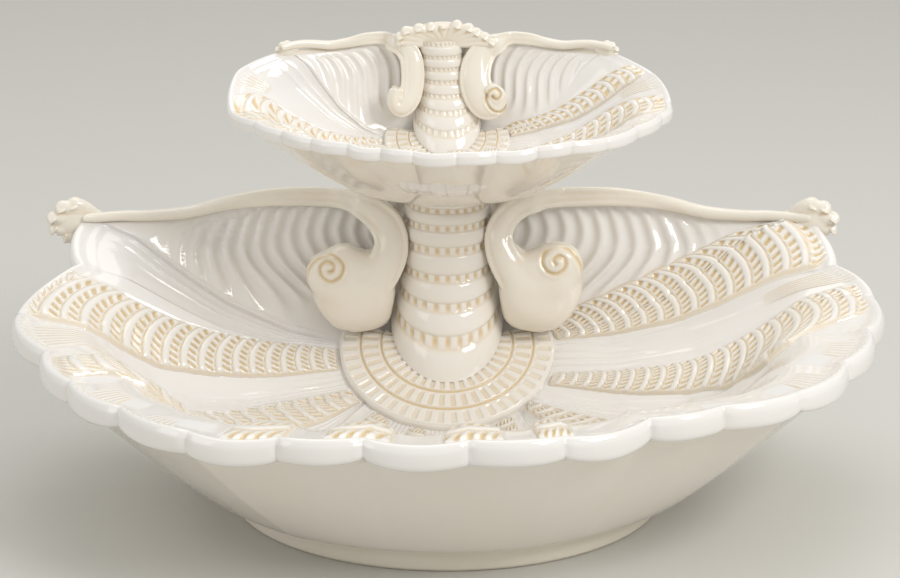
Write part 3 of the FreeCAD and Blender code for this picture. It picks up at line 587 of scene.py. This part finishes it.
def lip_rows(t, s):
    """The rolled lip, from the wall's end over its crest to its underside."""
    inner, rim = outline(t, s)[:2]
    way = unit((inner - rim)[:, :2])
    u = s - np.floor(s)
    front = (s < RIGHT_EAR).astype(float)
    # each lobe hangs a little lower in its middle and is creased at its notches
    lobe = np.abs(np.sin(np.pi * u)) ** 0.6
    soft = t["scale"] ** 1.5
    waves = soft * (0.14 + 0.10 * np.cos(2.4 * s)) * (1 - lobe) * front
    tall = t["lip"] / (LIP_HEIGHT * t["roll"]) * (1 - waves)
    crease = front * np.exp(-(np.minimum(u, 1 - u) / 0.05) ** 2) * 0.14 * soft * t["roll"]
    rows = []
    for inward, up in LIP_STOPS:
        flat = rim[:, :2] + way * (inward * t["roll"] + crease * math.exp(-(up + 1.2) ** 2))[:, None]
        # only the part that hangs down grows with the lip
        up = up * tall if up < -0.8 else up
        rows.append(np.column_stack((flat, rim[:, 2] + up * t["roll"] - crease * 0.5 * (up > -0.5))))
    return np.array(rows)


def skin(t, s, way):
    """Points of the inside and, past 1, on over the lip: one row of places for each way."""
    rows = []
    for places, w in zip(s, way):
        if w <= 1:
            rows.append(wall(t, places, [w])[0])
        else:
            lip = lip_rows(t, places)
            i = (w - 1) * (len(lip) - 1)
            low = min(int(i), len(lip) - 2)
            rows.append(lip[low] + (lip[low + 1] - lip[low]) * (i - low))
    return np.array(rows)


def dish_inside(t, node):
    """The inside of a shell, from the floor under its fan up the wall and over the lip."""
    s = shell_columns()
    way = np.linspace(0, 1, WALL_ROWS)
    plain = wall(t, s, way)
    height = bed_relief(t, s, way) + flutes(t, plain, s, way)
    grid = plain + normals(plain) * height[:, :, None]
    grid[-1] = plain[-1] + (grid[-1] - plain[-1]) * 0.6
    lip = lip_rows(t, s)
    lip[:FADE_ROWS] += (grid[-1] - plain[-1])[None] * np.linspace(0.8, 0, FADE_ROWS)[:, None, None]
    middle = np.broadcast_to(fan_plane(t, 0.0, 0.4 * t["fan"], t["fan_thick"]), (1, len(s), 3))
    full = np.concatenate((middle, grid, lip))
    # the rail is warmer than the rest
    behind = ramp(s, RIGHT_EAR, RIGHT_EAR + 0.6) * (1 - ramp(s, ROUND - 0.6, ROUND))
    row = np.arange(len(full))[:, None]
    warm = 0.10 + 0.55 * ramp(row, WALL_ROWS, WALL_ROWS + FADE_ROWS) * behind + 0.1 * behind
    piece = weld(fill_grid(t["name"] + "_shell", full, around=True, warm=warm))
    return finish_piece(piece, t, shell_glaze, "glaze", node)


def bowl_outside(t):
    """The plain outside of a shell, from its base up under the lip."""
    s = np.concatenate((np.linspace(0, RIGHT_EAR, 360, endpoint=False),
                        RIGHT_EAR + RAIL_SPAN * np.linspace(0, 1, 90, endpoint=False)))
    lip = lip_rows(t, s)[-1]
    half_long, half_wide, back, level = t["base"]
    inner, rim = outline(dict(t, bulge=0.0), s)[:2]
    turn = np.arctan2(rim[:, 0] / half_long, (rim[:, 1] - back) / half_wide)
    foot = np.column_stack((half_long * np.sin(turn), back + half_wide * np.cos(turn), level + 0 * turn))
    way = unit((inner - rim)[:, :2])
    tuck = np.column_stack((rim[:, :2] + way * t["roll"] * 1.2, rim[:, 2] - t["lip"]))
    rows = [np.broadcast_to((0.0, back, level), foot.shape), foot]
    profile = curve_through(((0.0, 0.0), (0.16, 0.05), (0.50, 0.40), (0.82, 0.78), (1.0, 1.0)), 7)
    rows += [foot + (tuck - foot) * (out, out, up) for out, up in profile[1:]]
    rows.append(lip + (0, 0, 0.6))
    piece = weld(fill_grid(t["name"] + "_bowl", np.array(rows), around=True, warm=0.5))
    return finish_piece(piece, t, shell_glaze, "glaze")


# Carved beds

# How much shorter a step of the way is on the lip than on the wall.
LIP_STEP = 0.15


def laid_on(t, name, plain, height, wash, warm):
    """A strip of glaze that stands out from the plain wall by its height."""
    grid = plain + strip_normals(plain) * height[:, :, None]
    piece = face_up(fill_grid(t["name"] + "_" + name, grid, wash=wash, warm=warm))
    return finish_piece(piece, t, carved_glaze, "glaze_washed")


def carved_bed(t, name, cells, marks, end, grow=0.7, crown=2.3, slant=1.5, bow=0.30, hook=0.45,
               fill=0.1, deep=0.9):
    """A raised bed of scales: each has a thin line, a smooth band and a row of slanted dashes."""
    sc, fine = t["scale"], t["scale"] ** 0.7
    rows, columns = cells * 14 + 1, marks * 7 + 9
    across = np.linspace(0, 1, columns)
    length = np.linspace(0, end if end <= 1 else 1 + (end - 1) * LIP_STEP, rows)
    way = np.where(length <= 1, length, 1 + (length - 1) / LIP_STEP)
    back_edge, front_edge = bed_edges(t["beds"], name, way)
    s = back_edge[:, None] + (front_edge - back_edge)[:, None] * (0.01 + 0.98 * across)
    if name.startswith("bed_right"):
        s = s[:, ::-1]
    plain = skin(t, s, way)
    a, u = (length / length[-1])[:, None], across[None]
    stretch = (np.sqrt(1 + grow * a) - 1) / (math.sqrt(1 + grow) - 1)
    phase = cells * stretch - bow * (1 - (2 * u - 1) ** 2) + hook * np.exp(-u / 0.07)
    part = phase % 1.0
    band = np.sin(np.pi * np.clip((part - 0.58) / 0.42, 0, 1)) ** 0.7
    groove = 1 - ramp(np.minimum(part, 1 - part), 0.0, 0.075)
    dash = np.clip(-np.cos(2 * np.pi * (marks * u + slant * part)) * 1.6 + fill, 0, 1)
    dash = dash * ramp(part, 0.08, 0.16) * (1 - ramp(part, 0.52, 0.62))
    edge = np.minimum(u, 1 - u)
    inside = ramp(edge, 0.025, 0.075)
    tips = ramp(a, 0.0, 0.015) * (1 - ramp(a, 0.97, 1.0))
    arch = np.sin(np.pi * u) ** 0.5
    height = 0.5 * t["relief"] * np.sin(np.pi * np.minimum(0.5, 0.08 + way))[:, None] * arch
    height = height + crown * fine * arch
    height = height * (1 - 0.75 * ramp(way, 0.9, 1.15))[:, None]
    height = height + fine * inside * (0.6 * band - 0.75 * groove - deep * dash)
    # the bed dips under the plain wall along its edges and at both tips
    height = height * tips - (1 - ramp(edge, 0.0, 0.05)) * 1.3 * sc - 1.6 * sc * (1 - tips)
    wash = inside * (dash * 0.95 + groove * 0.75)
    wash = wash + 0.4 * ramp(edge, 0.0, 0.02) * (1 - ramp(edge, 0.03, 0.06))
    return laid_on(t, name, plain, height, np.clip(wash, 0, 1), 0.22 + 0.2 * (1 - band))


def ribbed_flange(t, name, s0, s1, start, end, lines):
    """Fine lines that fan out over a lobe and its lip, from place s0 to s1."""
    across, along = np.linspace(0, 1, lines * 8 + 1), np.linspace(0, 1, 46)
    way = start + (end - start) * along
    a, u = along[:, None], across[None]
    s = s0 + (s1 - s0) * (0.5 + (u - 0.5) * (0.45 + 0.55 * ramp(a, 0.0, 0.7)))
    plain = skin(t, s, way)
    line = np.cos(2 * np.pi * lines * u)
    fade = ramp(a, 0.0, 0.25) * (1 - ramp(a, 0.85, 1.0)) * ramp(np.minimum(u, 1 - u), 0.0, 0.10)
    base = [bed_relief(t, places, [min(w, 1.0)])[0] for places, w in zip(s, way)]
    base = np.array(base) * np.interp(way, (0, 1, 1.4), (1, 0.6, 0))[:, None]
    height = base + (0.22 + 0.16 * line) * t["scale"] ** 0.7 * fade - 1.2 * (1 - fade)
    return laid_on(t, name, plain, height, 0.5 * fade * np.clip(-line, 0, 1), 0.25)


def carved_beds(t):
    """All carved beds and ribbed flanges of a shell."""
    big = t is LOWER
    if big:
        carved_bed(t, "bed_left_high", 18, 8, 1.42, fill=0.25, deep=1.1)
        carved_bed(t, "bed_left_low", 16, 7, 1.3, bow=0.25)
        carved_bed(t, "bed_right_high", 16, 11, 1.35, slant=1.2)
        carved_bed(t, "bed_right_mid", 20, 8, 1.3, slant=1.2)
    else:
        carved_bed(t, "bed_left_high", 13, 3, 1.35, grow=5.0, bow=0.55, deep=0.5, crown=2.8)
        carved_bed(t, "bed_left_low", 12, 4, 1.3, bow=0.25)
        carved_bed(t, "bed_right_high", 15, 3, 1.3, slant=0.4, grow=1.5, crown=3.4, hook=0.1, deep=0.5)
        carved_bed(t, "bed_right_mid", 13, 4, 1.3, slant=0.6, crown=2.6, deep=0.6)
    for name in ("front_a", "front_b", "front_c", "front_d"):
        carved_bed(t, name, 13 if big else 9, 5, 1.12, slant=0.8, crown=1.2, hook=0.0)
    carved_bed(t, "front_e", 9 if big else 6, 5, 0.5, slant=0.8, crown=1.2, hook=0.0)
    for name, s0, s1, start, lines in (
            ("flange_left", 2.05, 2.95, 0.72, 9), ("flange_right", 16.45, 17.0, 0.68, 8),
            ("leaf_left_b", 4.05, 4.95, 0.84, 7), ("leaf_left_c", 5.05, 5.95, 0.88, 7),
            ("leaf_right_a", 13.05, 13.95, 0.84, 7), ("leaf_right_b", 14.05, 14.95, 0.84, 7)):
        ribbed_flange(t, name, s0, s1, start, 1.42, lines if big else lines - 2)
    if not big:
        ribbed_flange(t, "flange_ear", 0.85, 1.35, 0.72, 1.36, 6)


# Fans
def fan_piece(t, node):
    """The half disc of rings, notched, on its tilted plane."""
    turns = np.radians(np.linspace(-106, 106, 620))
    r_share = np.concatenate((np.linspace(0.0, 0.4, 6), np.linspace(0.41, 1.0, 120)))
    sc, fine, top = t["scale"], t["scale"] ** 0.7, t["fan_thick"]
    step, counts = (2.0, (19, 22, 24)) if t is LOWER else (1.2, (15, 18, 20))
    level = np.interp(r_share, (0, 0.60, 0.625, 0.79, 0.815, 0.975, 1.0),
                      (top, top, top - 0.45 * step, top - 0.45 * step, top - 0.9 * step, top - step,
                       top - 1.9 * step))
    wash = np.zeros((len(r_share), len(turns)))
    height = np.repeat(level[:, None], len(turns), axis=1)
    for centre in (0.612, 0.803):
        line = np.exp(-((r_share - centre) / 0.010) ** 2)[:, None]
        height -= line * 0.9 * fine
        wash += line * 0.9
    for low, high, tint, count in zip((0.43, 0.635, 0.83), (0.60, 0.79, 0.97), (0.40, 0.40, 0.25), counts):
        window = ramp(r_share, low, low + 0.02) * (1 - ramp(r_share, high - 0.02, high))
        cut = window[:, None] * np.clip(-np.cos(count * 2 * turns) * 1.3 + 0.35, 0, 1)
        height -= cut * 0.8 * fine
        wash += cut * tint
        height += window[:, None] * 0.25 * sc
    height -= 2.0 * sc * ramp(np.abs(turns), math.radians(98), math.radians(106))[None]
    r = r_share[:, None] * t["fan"]
    grid = fan_plane(t, r * np.sin(turns), r * np.cos(turns), top - height)
    # the last row drops straight down as the fan's edge
    edge = fan_plane(t, t["fan"] * np.sin(turns), t["fan"] * np.cos(turns), top + 1.0)
    grid = np.concatenate((grid, edge[None]))
    wash = np.concatenate((np.clip(wash, 0, 1), np.full((1, len(turns)), 0.15)))
    piece = face_up(fill_grid(t["name"] + "_ringed_fan", grid, wash=wash, warm=0.4))
    return finish_piece(piece, t, carved_glaze, "glaze_washed", node)


# Columns

# At stations up a column: how far it still is from its width, its front and its turn at the top.
STATIONS = (0.0, 0.14, 0.30, 0.46, 0.62, 0.76, 0.88, 1.0)
WIDTHS = (1.0, 0.80, 0.45, 0.22, 0.08, 0.02, 0.0, 0.0)
FORWARDS = (1.0, 0.62, 0.30, 0.10, 0.02, 0.0, 0.0, 0.0)
TURNS = (1.0, 0.70, 0.42, 0.20, 0.06, 0.0, 0.0, 0.0)
# Where each row of notches ends, up the column, and how many notches go half round it.
LOWER_ROWS = (-0.02, 0.165, 0.315, 0.47, 0.645, 0.797, 0.92, 1.0)
UPPER_ROWS = (0.0, 0.14, 0.28, 0.42, 0.56, 0.70, 0.84, 1.0)
NOTCHED = 13


def column_piece(t, node, sizes, lean=0.0):
    """The hooped column between the scrolls, with a row of notches between its hoops."""
    base_half, top_half, top_level, front, foot_front, wall_y, hoop = sizes
    sc = t["scale"]
    share = np.linspace(0, 1, 200)
    angle = np.linspace(-0.10 * math.pi, 1.10 * math.pi, 150)
    width, forward, turn = [np.interp(share, FINE_WAY, smoothed(STATIONS, table, 15, 2))
                            for table in (WIDTHS, FORWARDS, TURNS)]
    turn = TILT * turn
    ends = LOWER_ROWS if t is LOWER else UPPER_ROWS
    k = np.clip(np.searchsorted(ends, share, side="right") - 1, 0, 6)
    u = (share - np.take(ends, k)) / (np.take(ends, k + 1) - np.take(ends, k))
    bulge = np.where(u < 0.68, np.sin(np.pi * np.clip(u / 0.68, 0, 1)) ** 0.4, 0.0)
    foot_back = fan_plane(t, 0.0, -0.27 * t["fan"])
    top_back = np.array((0.0, wall_y, top_level))
    back = foot_back + (top_back - foot_back) * share[:, None]
    foot_y = fan_plane(t, 0.0, foot_front)[1]
    front_y = front + (foot_y - front) * forward
    depth = (back[:, 1] - front_y) / np.cos(turn)
    half = top_half + (base_half - top_half) * width
    mark = np.clip(-np.cos(2 * NOTCHED * angle + 0.5 * np.sin(5 * angle)) + 0.25, 0, 1)[None]
    row = ((u > 0.70) * np.sin(np.pi * np.clip((u - 0.70) / 0.28, 0, 1)) ** 0.6)[:, None]
    swell = hoop * bulge[:, None] - 0.9 * sc ** 0.7 * row * mark + 0.25 * sc * row
    ring_half = half[:, None] + swell
    ring_depth = depth[:, None] + swell
    ahead = np.stack((0 * turn, -np.cos(turn), -np.sin(turn)), axis=1)
    grid = (back[:, None] + ring_half[:, :, None] * np.cos(angle)[None, :, None] * np.array((1.0, 0, 0))
            + ahead[:, None] * (ring_depth * np.sin(angle))[:, :, None])
    grid[:, :, 0] += lean * (share ** 1.5)[:, None]
    # the wash pools in the notches and along both edges of their rows
    lines = np.exp(-((u - 0.69) / 0.035) ** 2) + np.exp(-((u - 0.99) / 0.03) ** 2)
    wash = row * mark * (0.8 if t is LOWER else 0.45) + 0.3 * lines[:, None]
    grid = np.concatenate((grid, pole(grid[-1])))
    wash = np.concatenate((wash, wash[-1:]))
    piece = weld(fill_grid(t["name"] + "_beaded_column", grid, wash=np.clip(wash, 0, 1), warm=0.4))
    return finish_piece(piece, t, carved_glaze, "glaze_washed", node)


# Scrolls and rails

# Points of a curve between two stops of a band, and the warmth of scrolls, ears and crest.
BAND_STEPS = 9
SCROLL_WARMTH = 0.7


def rail_stops(t, side, end, lift, hump):
    """Stops x, y, z, half, depth along the rail, from the ear to a share of the way to its middle."""
    k = t["roll"] / 5
    c = np.linspace(0.05, end, 9)
    s = RIGHT_EAR + 0.5 * RAIL_SPAN * c if side > 0 else ROUND - 0.5 * RAIL_SPAN * c
    taper = np.linspace(0.62, 1.0, len(c))
    raised = lift * (1 - 0.35 * ramp(c, 0.3, 0.55)) + hump * np.sin(np.pi * np.clip(c / 0.62, 0, 1))
    return [(abs(x), y - 4.6 * k, z - 5.2 * k * f + up, 4.7 * k * f, 5.2 * k * f)
            for (x, y, z), f, up in zip(outline(t, s)[1], taper, raised)]


# The lower scrolls: x, y, z, half width and half depth along the band, from the rail's
# underside round the open C and into the bulb.
SCROLL_LEFT = (
    (52.0, 98.5, 136.5, 6.0, 6.5), (42.0, 96.5, 132.5, 8.0, 7.5), (34.2, 94.0, 125.5, 9.2, 8.8),
    (31.0, 91.5, 117.0, 9.2, 9.8), (32.4, 89.0, 108.0, 9.8, 10.8), (37.5, 87.0, 99.0, 10.8, 11.8),
    (45.0, 85.3, 91.5, 12.0, 12.6), (55.0, 84.2, 88.5, 12.6, 12.9), (63.0, 83.5, 91.5, 12.2, 13.0),
    (67.0, 83.2, 96.5, 10.0, 12.8))
SCROLL_RIGHT = (
    (52.0, 98.5, 138.0, 5.4, 6.5), (41.0, 96.5, 135.5, 6.2, 7.5), (32.5, 94.0, 129.0, 6.6, 8.8),
    (28.8, 91.5, 120.0, 7.2, 9.8), (30.2, 89.0, 111.0, 8.2, 10.8), (35.5, 87.0, 101.5, 9.8, 11.8),
    (43.0, 85.3, 93.5, 12.0, 12.6), (52.0, 84.2, 90.0, 12.8, 12.9), (60.0, 83.5, 93.5, 12.2, 13.0),
    (63.5, 83.2, 99.5, 10.0, 12.8))
# The face of a lower scroll, from the band down past the bulb to the fan.
SCROLL_FACE = (
    (34.0, 89.0, 113.0, 5.0, 8.0), (38.5, 88.0, 104.5, 8.5, 10.5), (44.5, 86.5, 100.0, 14.5, 12.0),
    (52.4, 85.2, 96.0, 22.4, 12.8), (52.4, 84.8, 90.0, 23.8, 13.2), (50.6, 84.8, 83.0, 22.6, 13.2),
    (48.6, 85.4, 76.0, 19.8, 12.8), (46.6, 87.0, 69.5, 16.0, 10.8), (45.5, 89.5, 64.0, 10.0, 6.5))
# The spiral lines of the lower scrolls, x and z, from the bulb's outer side to the eye.
SPIRAL_LEFT = (
    (-79.0, 92.0), (-78.6, 100.0), (-74.5, 107.0), (-68.0, 110.8), (-61.5, 109.8), (-57.8, 105.4),
    (-59.3, 99.8), (-64.8, 97.2), (-69.6, 99.8), (-70.6, 104.8), (-67.4, 108.0), (-63.6, 106.8),
    (-63.2, 103.4), (-65.8, 102.6))
SPIRAL_RIGHT = (
    (76.2, 93.0), (76.3, 99.0), (73.6, 107.4), (69.0, 113.6), (62.4, 116.4), (56.2, 114.2),
    (53.0, 108.6), (55.3, 103.4), (60.4, 101.6), (65.2, 104.6), (65.8, 109.2), (62.4, 111.6),
    (59.4, 109.4), (60.4, 106.8))


def scroll_piece(t, node, side, stops, voxel, end, lift, hump=0.0, face=None, bulb=None, spiral=None):
    """A rail that turns down into its scroll, with a fine roll along each edge of the band."""
    path = rail_stops(t, side, end, lift, hump)
    line = curve_through(path + list(stops), BAND_STEPS)
    line[:, 0] *= side
    parts = [swept("rail", line[:, :3], line[:, 3], line[:, 4], sides=40, power=0.85)]
    if face:
        front = curve_through(face, 8)
        front[:, 0] *= side
        parts.append(swept("face", front[:, :3], front[:, 3], front[:, 4], sides=40, power=0.85))
    if bulb:
        # the bulb that the spiral is cut into
        x, y, z, r, deep = bulb
        a = np.linspace(-1, 1, 13)
        middle = np.column_stack((np.full(13, x * side), y + deep * a, np.full(13, z)))
        round_off = r * np.clip(1 - np.abs(a) ** 5, 0.05, 1)
        parts.append(swept("bulb", middle, round_off, round_off, sides=32, deep=(0.0, 0.0, 1.0)))
        parts = [fuse("whole_scroll", parts, 1.0, 45)]
    # the fine rolls grow out of the band beyond the ear, and end before the bulb
    way = np.gradient(line[:, :3], axis=0)
    way[:, 1] = 0
    across = np.cross(unit(way), (0.0, 1.0, 0.0)) * side
    part = slice(int(len(path) * 0.55) * BAND_STEPS, len(line) - (3 * BAND_STEPS if bulb else 1))
    band, aside = line[part], across[part]
    grow = ramp(np.arange(len(band)), 0, 34)
    for share, thick in ((-0.84, 1.8), (0.86, 2.1)):
        edge = band[:, :3] + aside * (band[:, 3] * share * (0.2 + 0.8 * grow))[:, None]
        edge[:, 1] -= band[:, 4] * 0.60 * grow
        roll = np.linspace(1.1, 1.0, len(edge)) * thick * t["scale"] ** 0.6
        parts.append(swept("edge_roll", edge, roll, roll, sides=12))
    piece = fuse(node.replace("scroll", "volute"), parts, voxel, 5)
    paint(piece, "warm", SCROLL_WARMTH)
    hollows(piece, 20, 1.0)
    if spiral:
        engrave(piece, curve_through(spiral, 10), 1.3, 0.95 if bulb else 0.7)
    return finish_piece(piece, t, scroll_glaze, "glaze_washed", node)


# Ears and crest
def ribbed_leaf(name, root, tips, thick, side, voxel, core):
    """Ribs that fan out from a root over a thicker body and grow together with it."""
    parts = []
    for tip in tips:
        # each rib rises, runs out to its tip and turns down there
        stops = [(*root, 0.7), (*(root + tip * (0.42, 0.5, 0.55)), 0.95),
                 (*(root + tip * (0.8, 0.9, 0.9)), 1.05), (*(root + tip * 0.98), 0.95),
                 (*(root + tip * (0.95, 1.0, 0.88) - (0, 0.9 * thick, 0.3 * thick)), 0.7)]
        line = curve_through(stops, 7)
        line[:, 0] *= side
        parts.append(swept("rib", line[:, :3], line[:, 3] * thick, line[:, 3] * thick, sides=16))
    line = curve_through(core, 8)
    line[:, :3] += root
    line[:, 0] *= side
    parts.append(swept("core", line[:, :3], line[:, 3], line[:, 4], sides=32))
    piece = fuse(name, parts, voxel, 6)
    paint(piece, "warm", SCROLL_WARMTH)
    return hollows(piece, 14, 0.45)


# For the lower ear, from its root: the tips of its ribs, and its body with half width and depth.
EAR_TIPS = np.array(((14, -4, 8.5), (20.5, -6, 7.0), (25.5, -7, 1.0), (25.0, -6, -6.0), (18.5, -5, -11.0),
                     (21, 4, 1.0), (18, 4, -8.0)))
EAR_CORE = np.array(((-2, 0, 0, 3.0, 3.0), (6, -1.5, 0, 6.5, 5.0), (13, -3, -1, 10.0, 6.0),
                     (20, -3.5, -1.5, 9.5, 6.0), (24, -3.5, -2, 6.5, 5.0)))


def ear_piece(t, node, side, out, down):
    """A ribbed leaf that folds over the end of the rail."""
    k = 1.0 if t is LOWER else 0.44
    x, y = rim_end(t)
    root = np.array((x - 13.0 * k + out, y + t["roll"] * 0.99 - k, t["ear"] - down + k))
    piece = ribbed_leaf(node.replace("ear", "leaf_curl"), root, EAR_TIPS * k, 4.0 * k, side, 0.6 * k ** 0.5,
                        EAR_CORE * k)
    return finish_piece(piece, t, scroll_glaze, "glaze_washed", node)


def crest_piece(t, node):
    """A low fan of leaves that grows out of the upper rails."""
    turns = np.radians(np.linspace(5, 175, 11))
    reach = 1.0 - 0.06 * np.cos(5.0 * turns)
    tips = np.column_stack((-26.5 * np.cos(turns) * reach, np.full(11, -2.2),
                            11.6 * np.sin(turns) ** 0.9 * reach + 0.6))
    talls = ((-28, 2.0), (-22, 8.0), (-12, 12.2), (0, 14.2), (12, 12.2), (22, 8.0), (28, 2.0))
    core = [(x, 0.0, 0.44 * tall, 0.5 * tall, 2.6) for x, tall in talls]
    root = np.array((-2.0, 106.0, 224.2))
    piece = ribbed_leaf("upper_crest_fan", root, tips, 2.7, 1, 0.45, core)
    return finish_piece(piece, t, carved_glaze, "glaze_washed", node)


# The foot's half length and half width, and its section: outwards from those, and up.
FOOT_HALF = (116.0, 110.2)
FOOT_SECTION = ((-12.0, 0.0), (-3.5, 0.0), (-1.2, 0.5), (0.0, 2.4), (-0.6, 6.0), (-0.8, 10.0), (0.2, 13.0),
                (1.2, 14.0), (-12.0, 14.0), (-12.0, 7.0), (-12.0, 0.0))


def foot_piece(t, node):
    """The oval ring that the server stands on."""
    a = np.linspace(0, 2 * math.pi, 256, endpoint=False)
    rows = [np.column_stack(((FOOT_HALF[0] + out) * np.cos(a), (FOOT_HALF[1] + out) * np.sin(a),
                             np.full(len(a), up))) for out, up in FOOT_SECTION]
    piece = weld(fill_grid("foot_oval", np.array(rows), around=True, warm=0.8))
    return finish_piece(piece, t, shell_glaze, "glaze", node)


def build_lower():
    """The lower tier, from its foot to its ears."""
    t = LOWER
    foot_piece(t, "foot_ring")
    dish_inside(t, "lower_dish")
    bowl_outside(t)
    carved_beds(t)
    fan_piece(t, "lower_fan")
    column_piece(t, "lower_column", (31.0, 23.0, 144.0, 76.0, 30.0, 102.0, 1.5))
    for hand, side, stops, spiral, bulb, out in (
            ("left", -1, SCROLL_LEFT, SPIRAL_LEFT, (66.3, 83.0, 98.5, 13.0, 12.6), 4.5),
            ("right", 1, SCROLL_RIGHT, SPIRAL_RIGHT, (63.2, 83.0, 103.3, 13.4, 12.6), 0.0)):
        scroll_piece(t, "lower_scroll_" + hand, side, stops, 0.8, 0.80, 3.7,
                     face=SCROLL_FACE, bulb=bulb, spiral=spiral)
        ear_piece(t, "lower_ear_" + hand, side, out, 1.5)


# The upper scrolls and their one spiral line, in the same way.
UPPER_SCROLL_LEFT = (
    (31.0, 108.0, 226.0, 4.4, 4.5), (24.8, 107.0, 224.0, 5.4, 5.0), (20.2, 105.0, 218.5, 6.0, 6.0),
    (18.8, 103.0, 210.5, 6.2, 6.6), (19.2, 101.0, 202.5, 6.1, 7.0), (21.2, 99.0, 195.5, 5.8, 7.5),
    (25.0, 98.0, 191.4, 5.2, 7.5), (28.4, 97.5, 193.0, 3.9, 7.2), (29.2, 97.5, 197.6, 3.2, 7.0),
    (28.2, 97.5, 202.4, 2.3, 6.5))
UPPER_SCROLL_RIGHT = (
    (29.0, 108.0, 225.5, 5.0, 4.5), (22.0, 107.0, 222.5, 6.8, 5.0), (17.0, 104.5, 215.5, 8.2, 6.0),
    (15.4, 102.0, 207.0, 8.8, 6.8), (17.4, 100.0, 198.5, 9.0, 7.3), (21.4, 98.5, 192.5, 8.2, 7.5),
    (26.0, 98.0, 192.0, 6.2, 7.4), (28.4, 97.5, 197.0, 4.6, 7.2), (25.6, 97.5, 201.2, 3.2, 7.0),
    (22.6, 97.5, 199.0, 2.2, 7.0))
UPPER_SPIRAL = (
    (34.0, 200.0), (33.6, 194.0), (30.0, 189.4), (25.0, 190.6), (21.8, 195.6), (23.0, 200.6),
    (27.0, 202.4), (29.6, 199.2), (27.4, 196.6), (25.4, 198.2))


def build_upper():
    """The upper tier, from its dish to its ears."""
    t = UPPER
    dish_inside(t, "upper_dish")
    bowl_outside(t)
    carved_beds(t)
    fan_piece(t, "upper_fan")
    column_piece(t, "upper_column", (18.5, 11.0, 227.0, 98.0, 17.0, 108.0, 0.9), lean=-4.0)
    crest_piece(t, "upper_crest")
    for hand, side, stops, spiral in (("left", -1, UPPER_SCROLL_LEFT, None),
                                      ("right", 1, UPPER_SCROLL_RIGHT, UPPER_SPIRAL)):
        scroll_piece(t, "upper_scroll_" + hand, side, stops, 0.5, 0.74, 3.4, hump=2.4, spiral=spiral)
        ear_piece(t, "upper_ear_" + hand, side, -3.0, 0.0)


build_lower()
build_upper()


# Studio
def stage_floor():
    """A wide pale floor, open on all sides."""
    bpy.ops.mesh.primitive_grid_add(x_subdivisions=4, y_subdivisions=4, size=40.0)
    floor = bpy.context.object
    floor.name = floor.data.name = "floor_sheet"
    material = bpy.data.materials.new("backdrop_paper")
    material.use_nodes = True
    shader = material.node_tree.nodes["Principled BSDF"]
    shader.inputs["Base Color"].default_value = (0.63, 0.617, 0.577, 1)
    shader.inputs["Roughness"].default_value = 0.7
    shader.inputs["Specular IOR Level"].default_value = 0.2
    floor.data.materials.append(material)


def soft_box(name, place, aim, size, power):
    """A flat lamp that shines from its place towards a point."""
    bpy.ops.object.light_add(type="AREA", location=place)
    lamp = bpy.context.object
    lamp.name = name
    lamp.data.shape = "RECTANGLE"
    lamp.data.size, lamp.data.size_y = size
    lamp.data.energy = power
    lamp.rotation_euler = (Vector(aim) - Vector(place)).to_track_quat("-Z", "Y").to_euler()


stage_floor()
soft_box("key_box", (1.1, -0.9, 1.25), (0, 0, 0.1), (0.7, 0.7), 14)
soft_box("fill_box", (-1.5, -0.9, 1.0), (0, 0, 0.1), (0.9, 0.9), 3.5)
soft_box("top_box", (0.0, 0.5, 1.6), (0, 0, 0.1), (1.2, 0.8), 5)

world = bpy.data.worlds.new("studio_air")
bpy.context.scene.world = world
world.use_nodes = True
air = world.node_tree.nodes["Background"]
air.inputs["Color"].default_value = (0.92, 0.92, 0.90, 1)
air.inputs["Strength"].default_value = 0.75

camera = bpy.data.cameras.new("photo_camera")
camera.sensor_width = 36.0
camera.lens = 99.44
camera.shift_x = 3.0 / 900.0
camera_object = bpy.data.objects.new("photo_camera", camera)
bpy.context.scene.collection.objects.link(camera_object)
camera_object.location = (SHIFT[0] * MM, -1.256 + SHIFT[1] * MM, 0.495)
camera_object.rotation_euler = (math.radians(90 - 16.85), 0, 0)
bpy.context.scene.camera = camera_object
bpy.context.scene.view_settings.view_transform = "Standard"
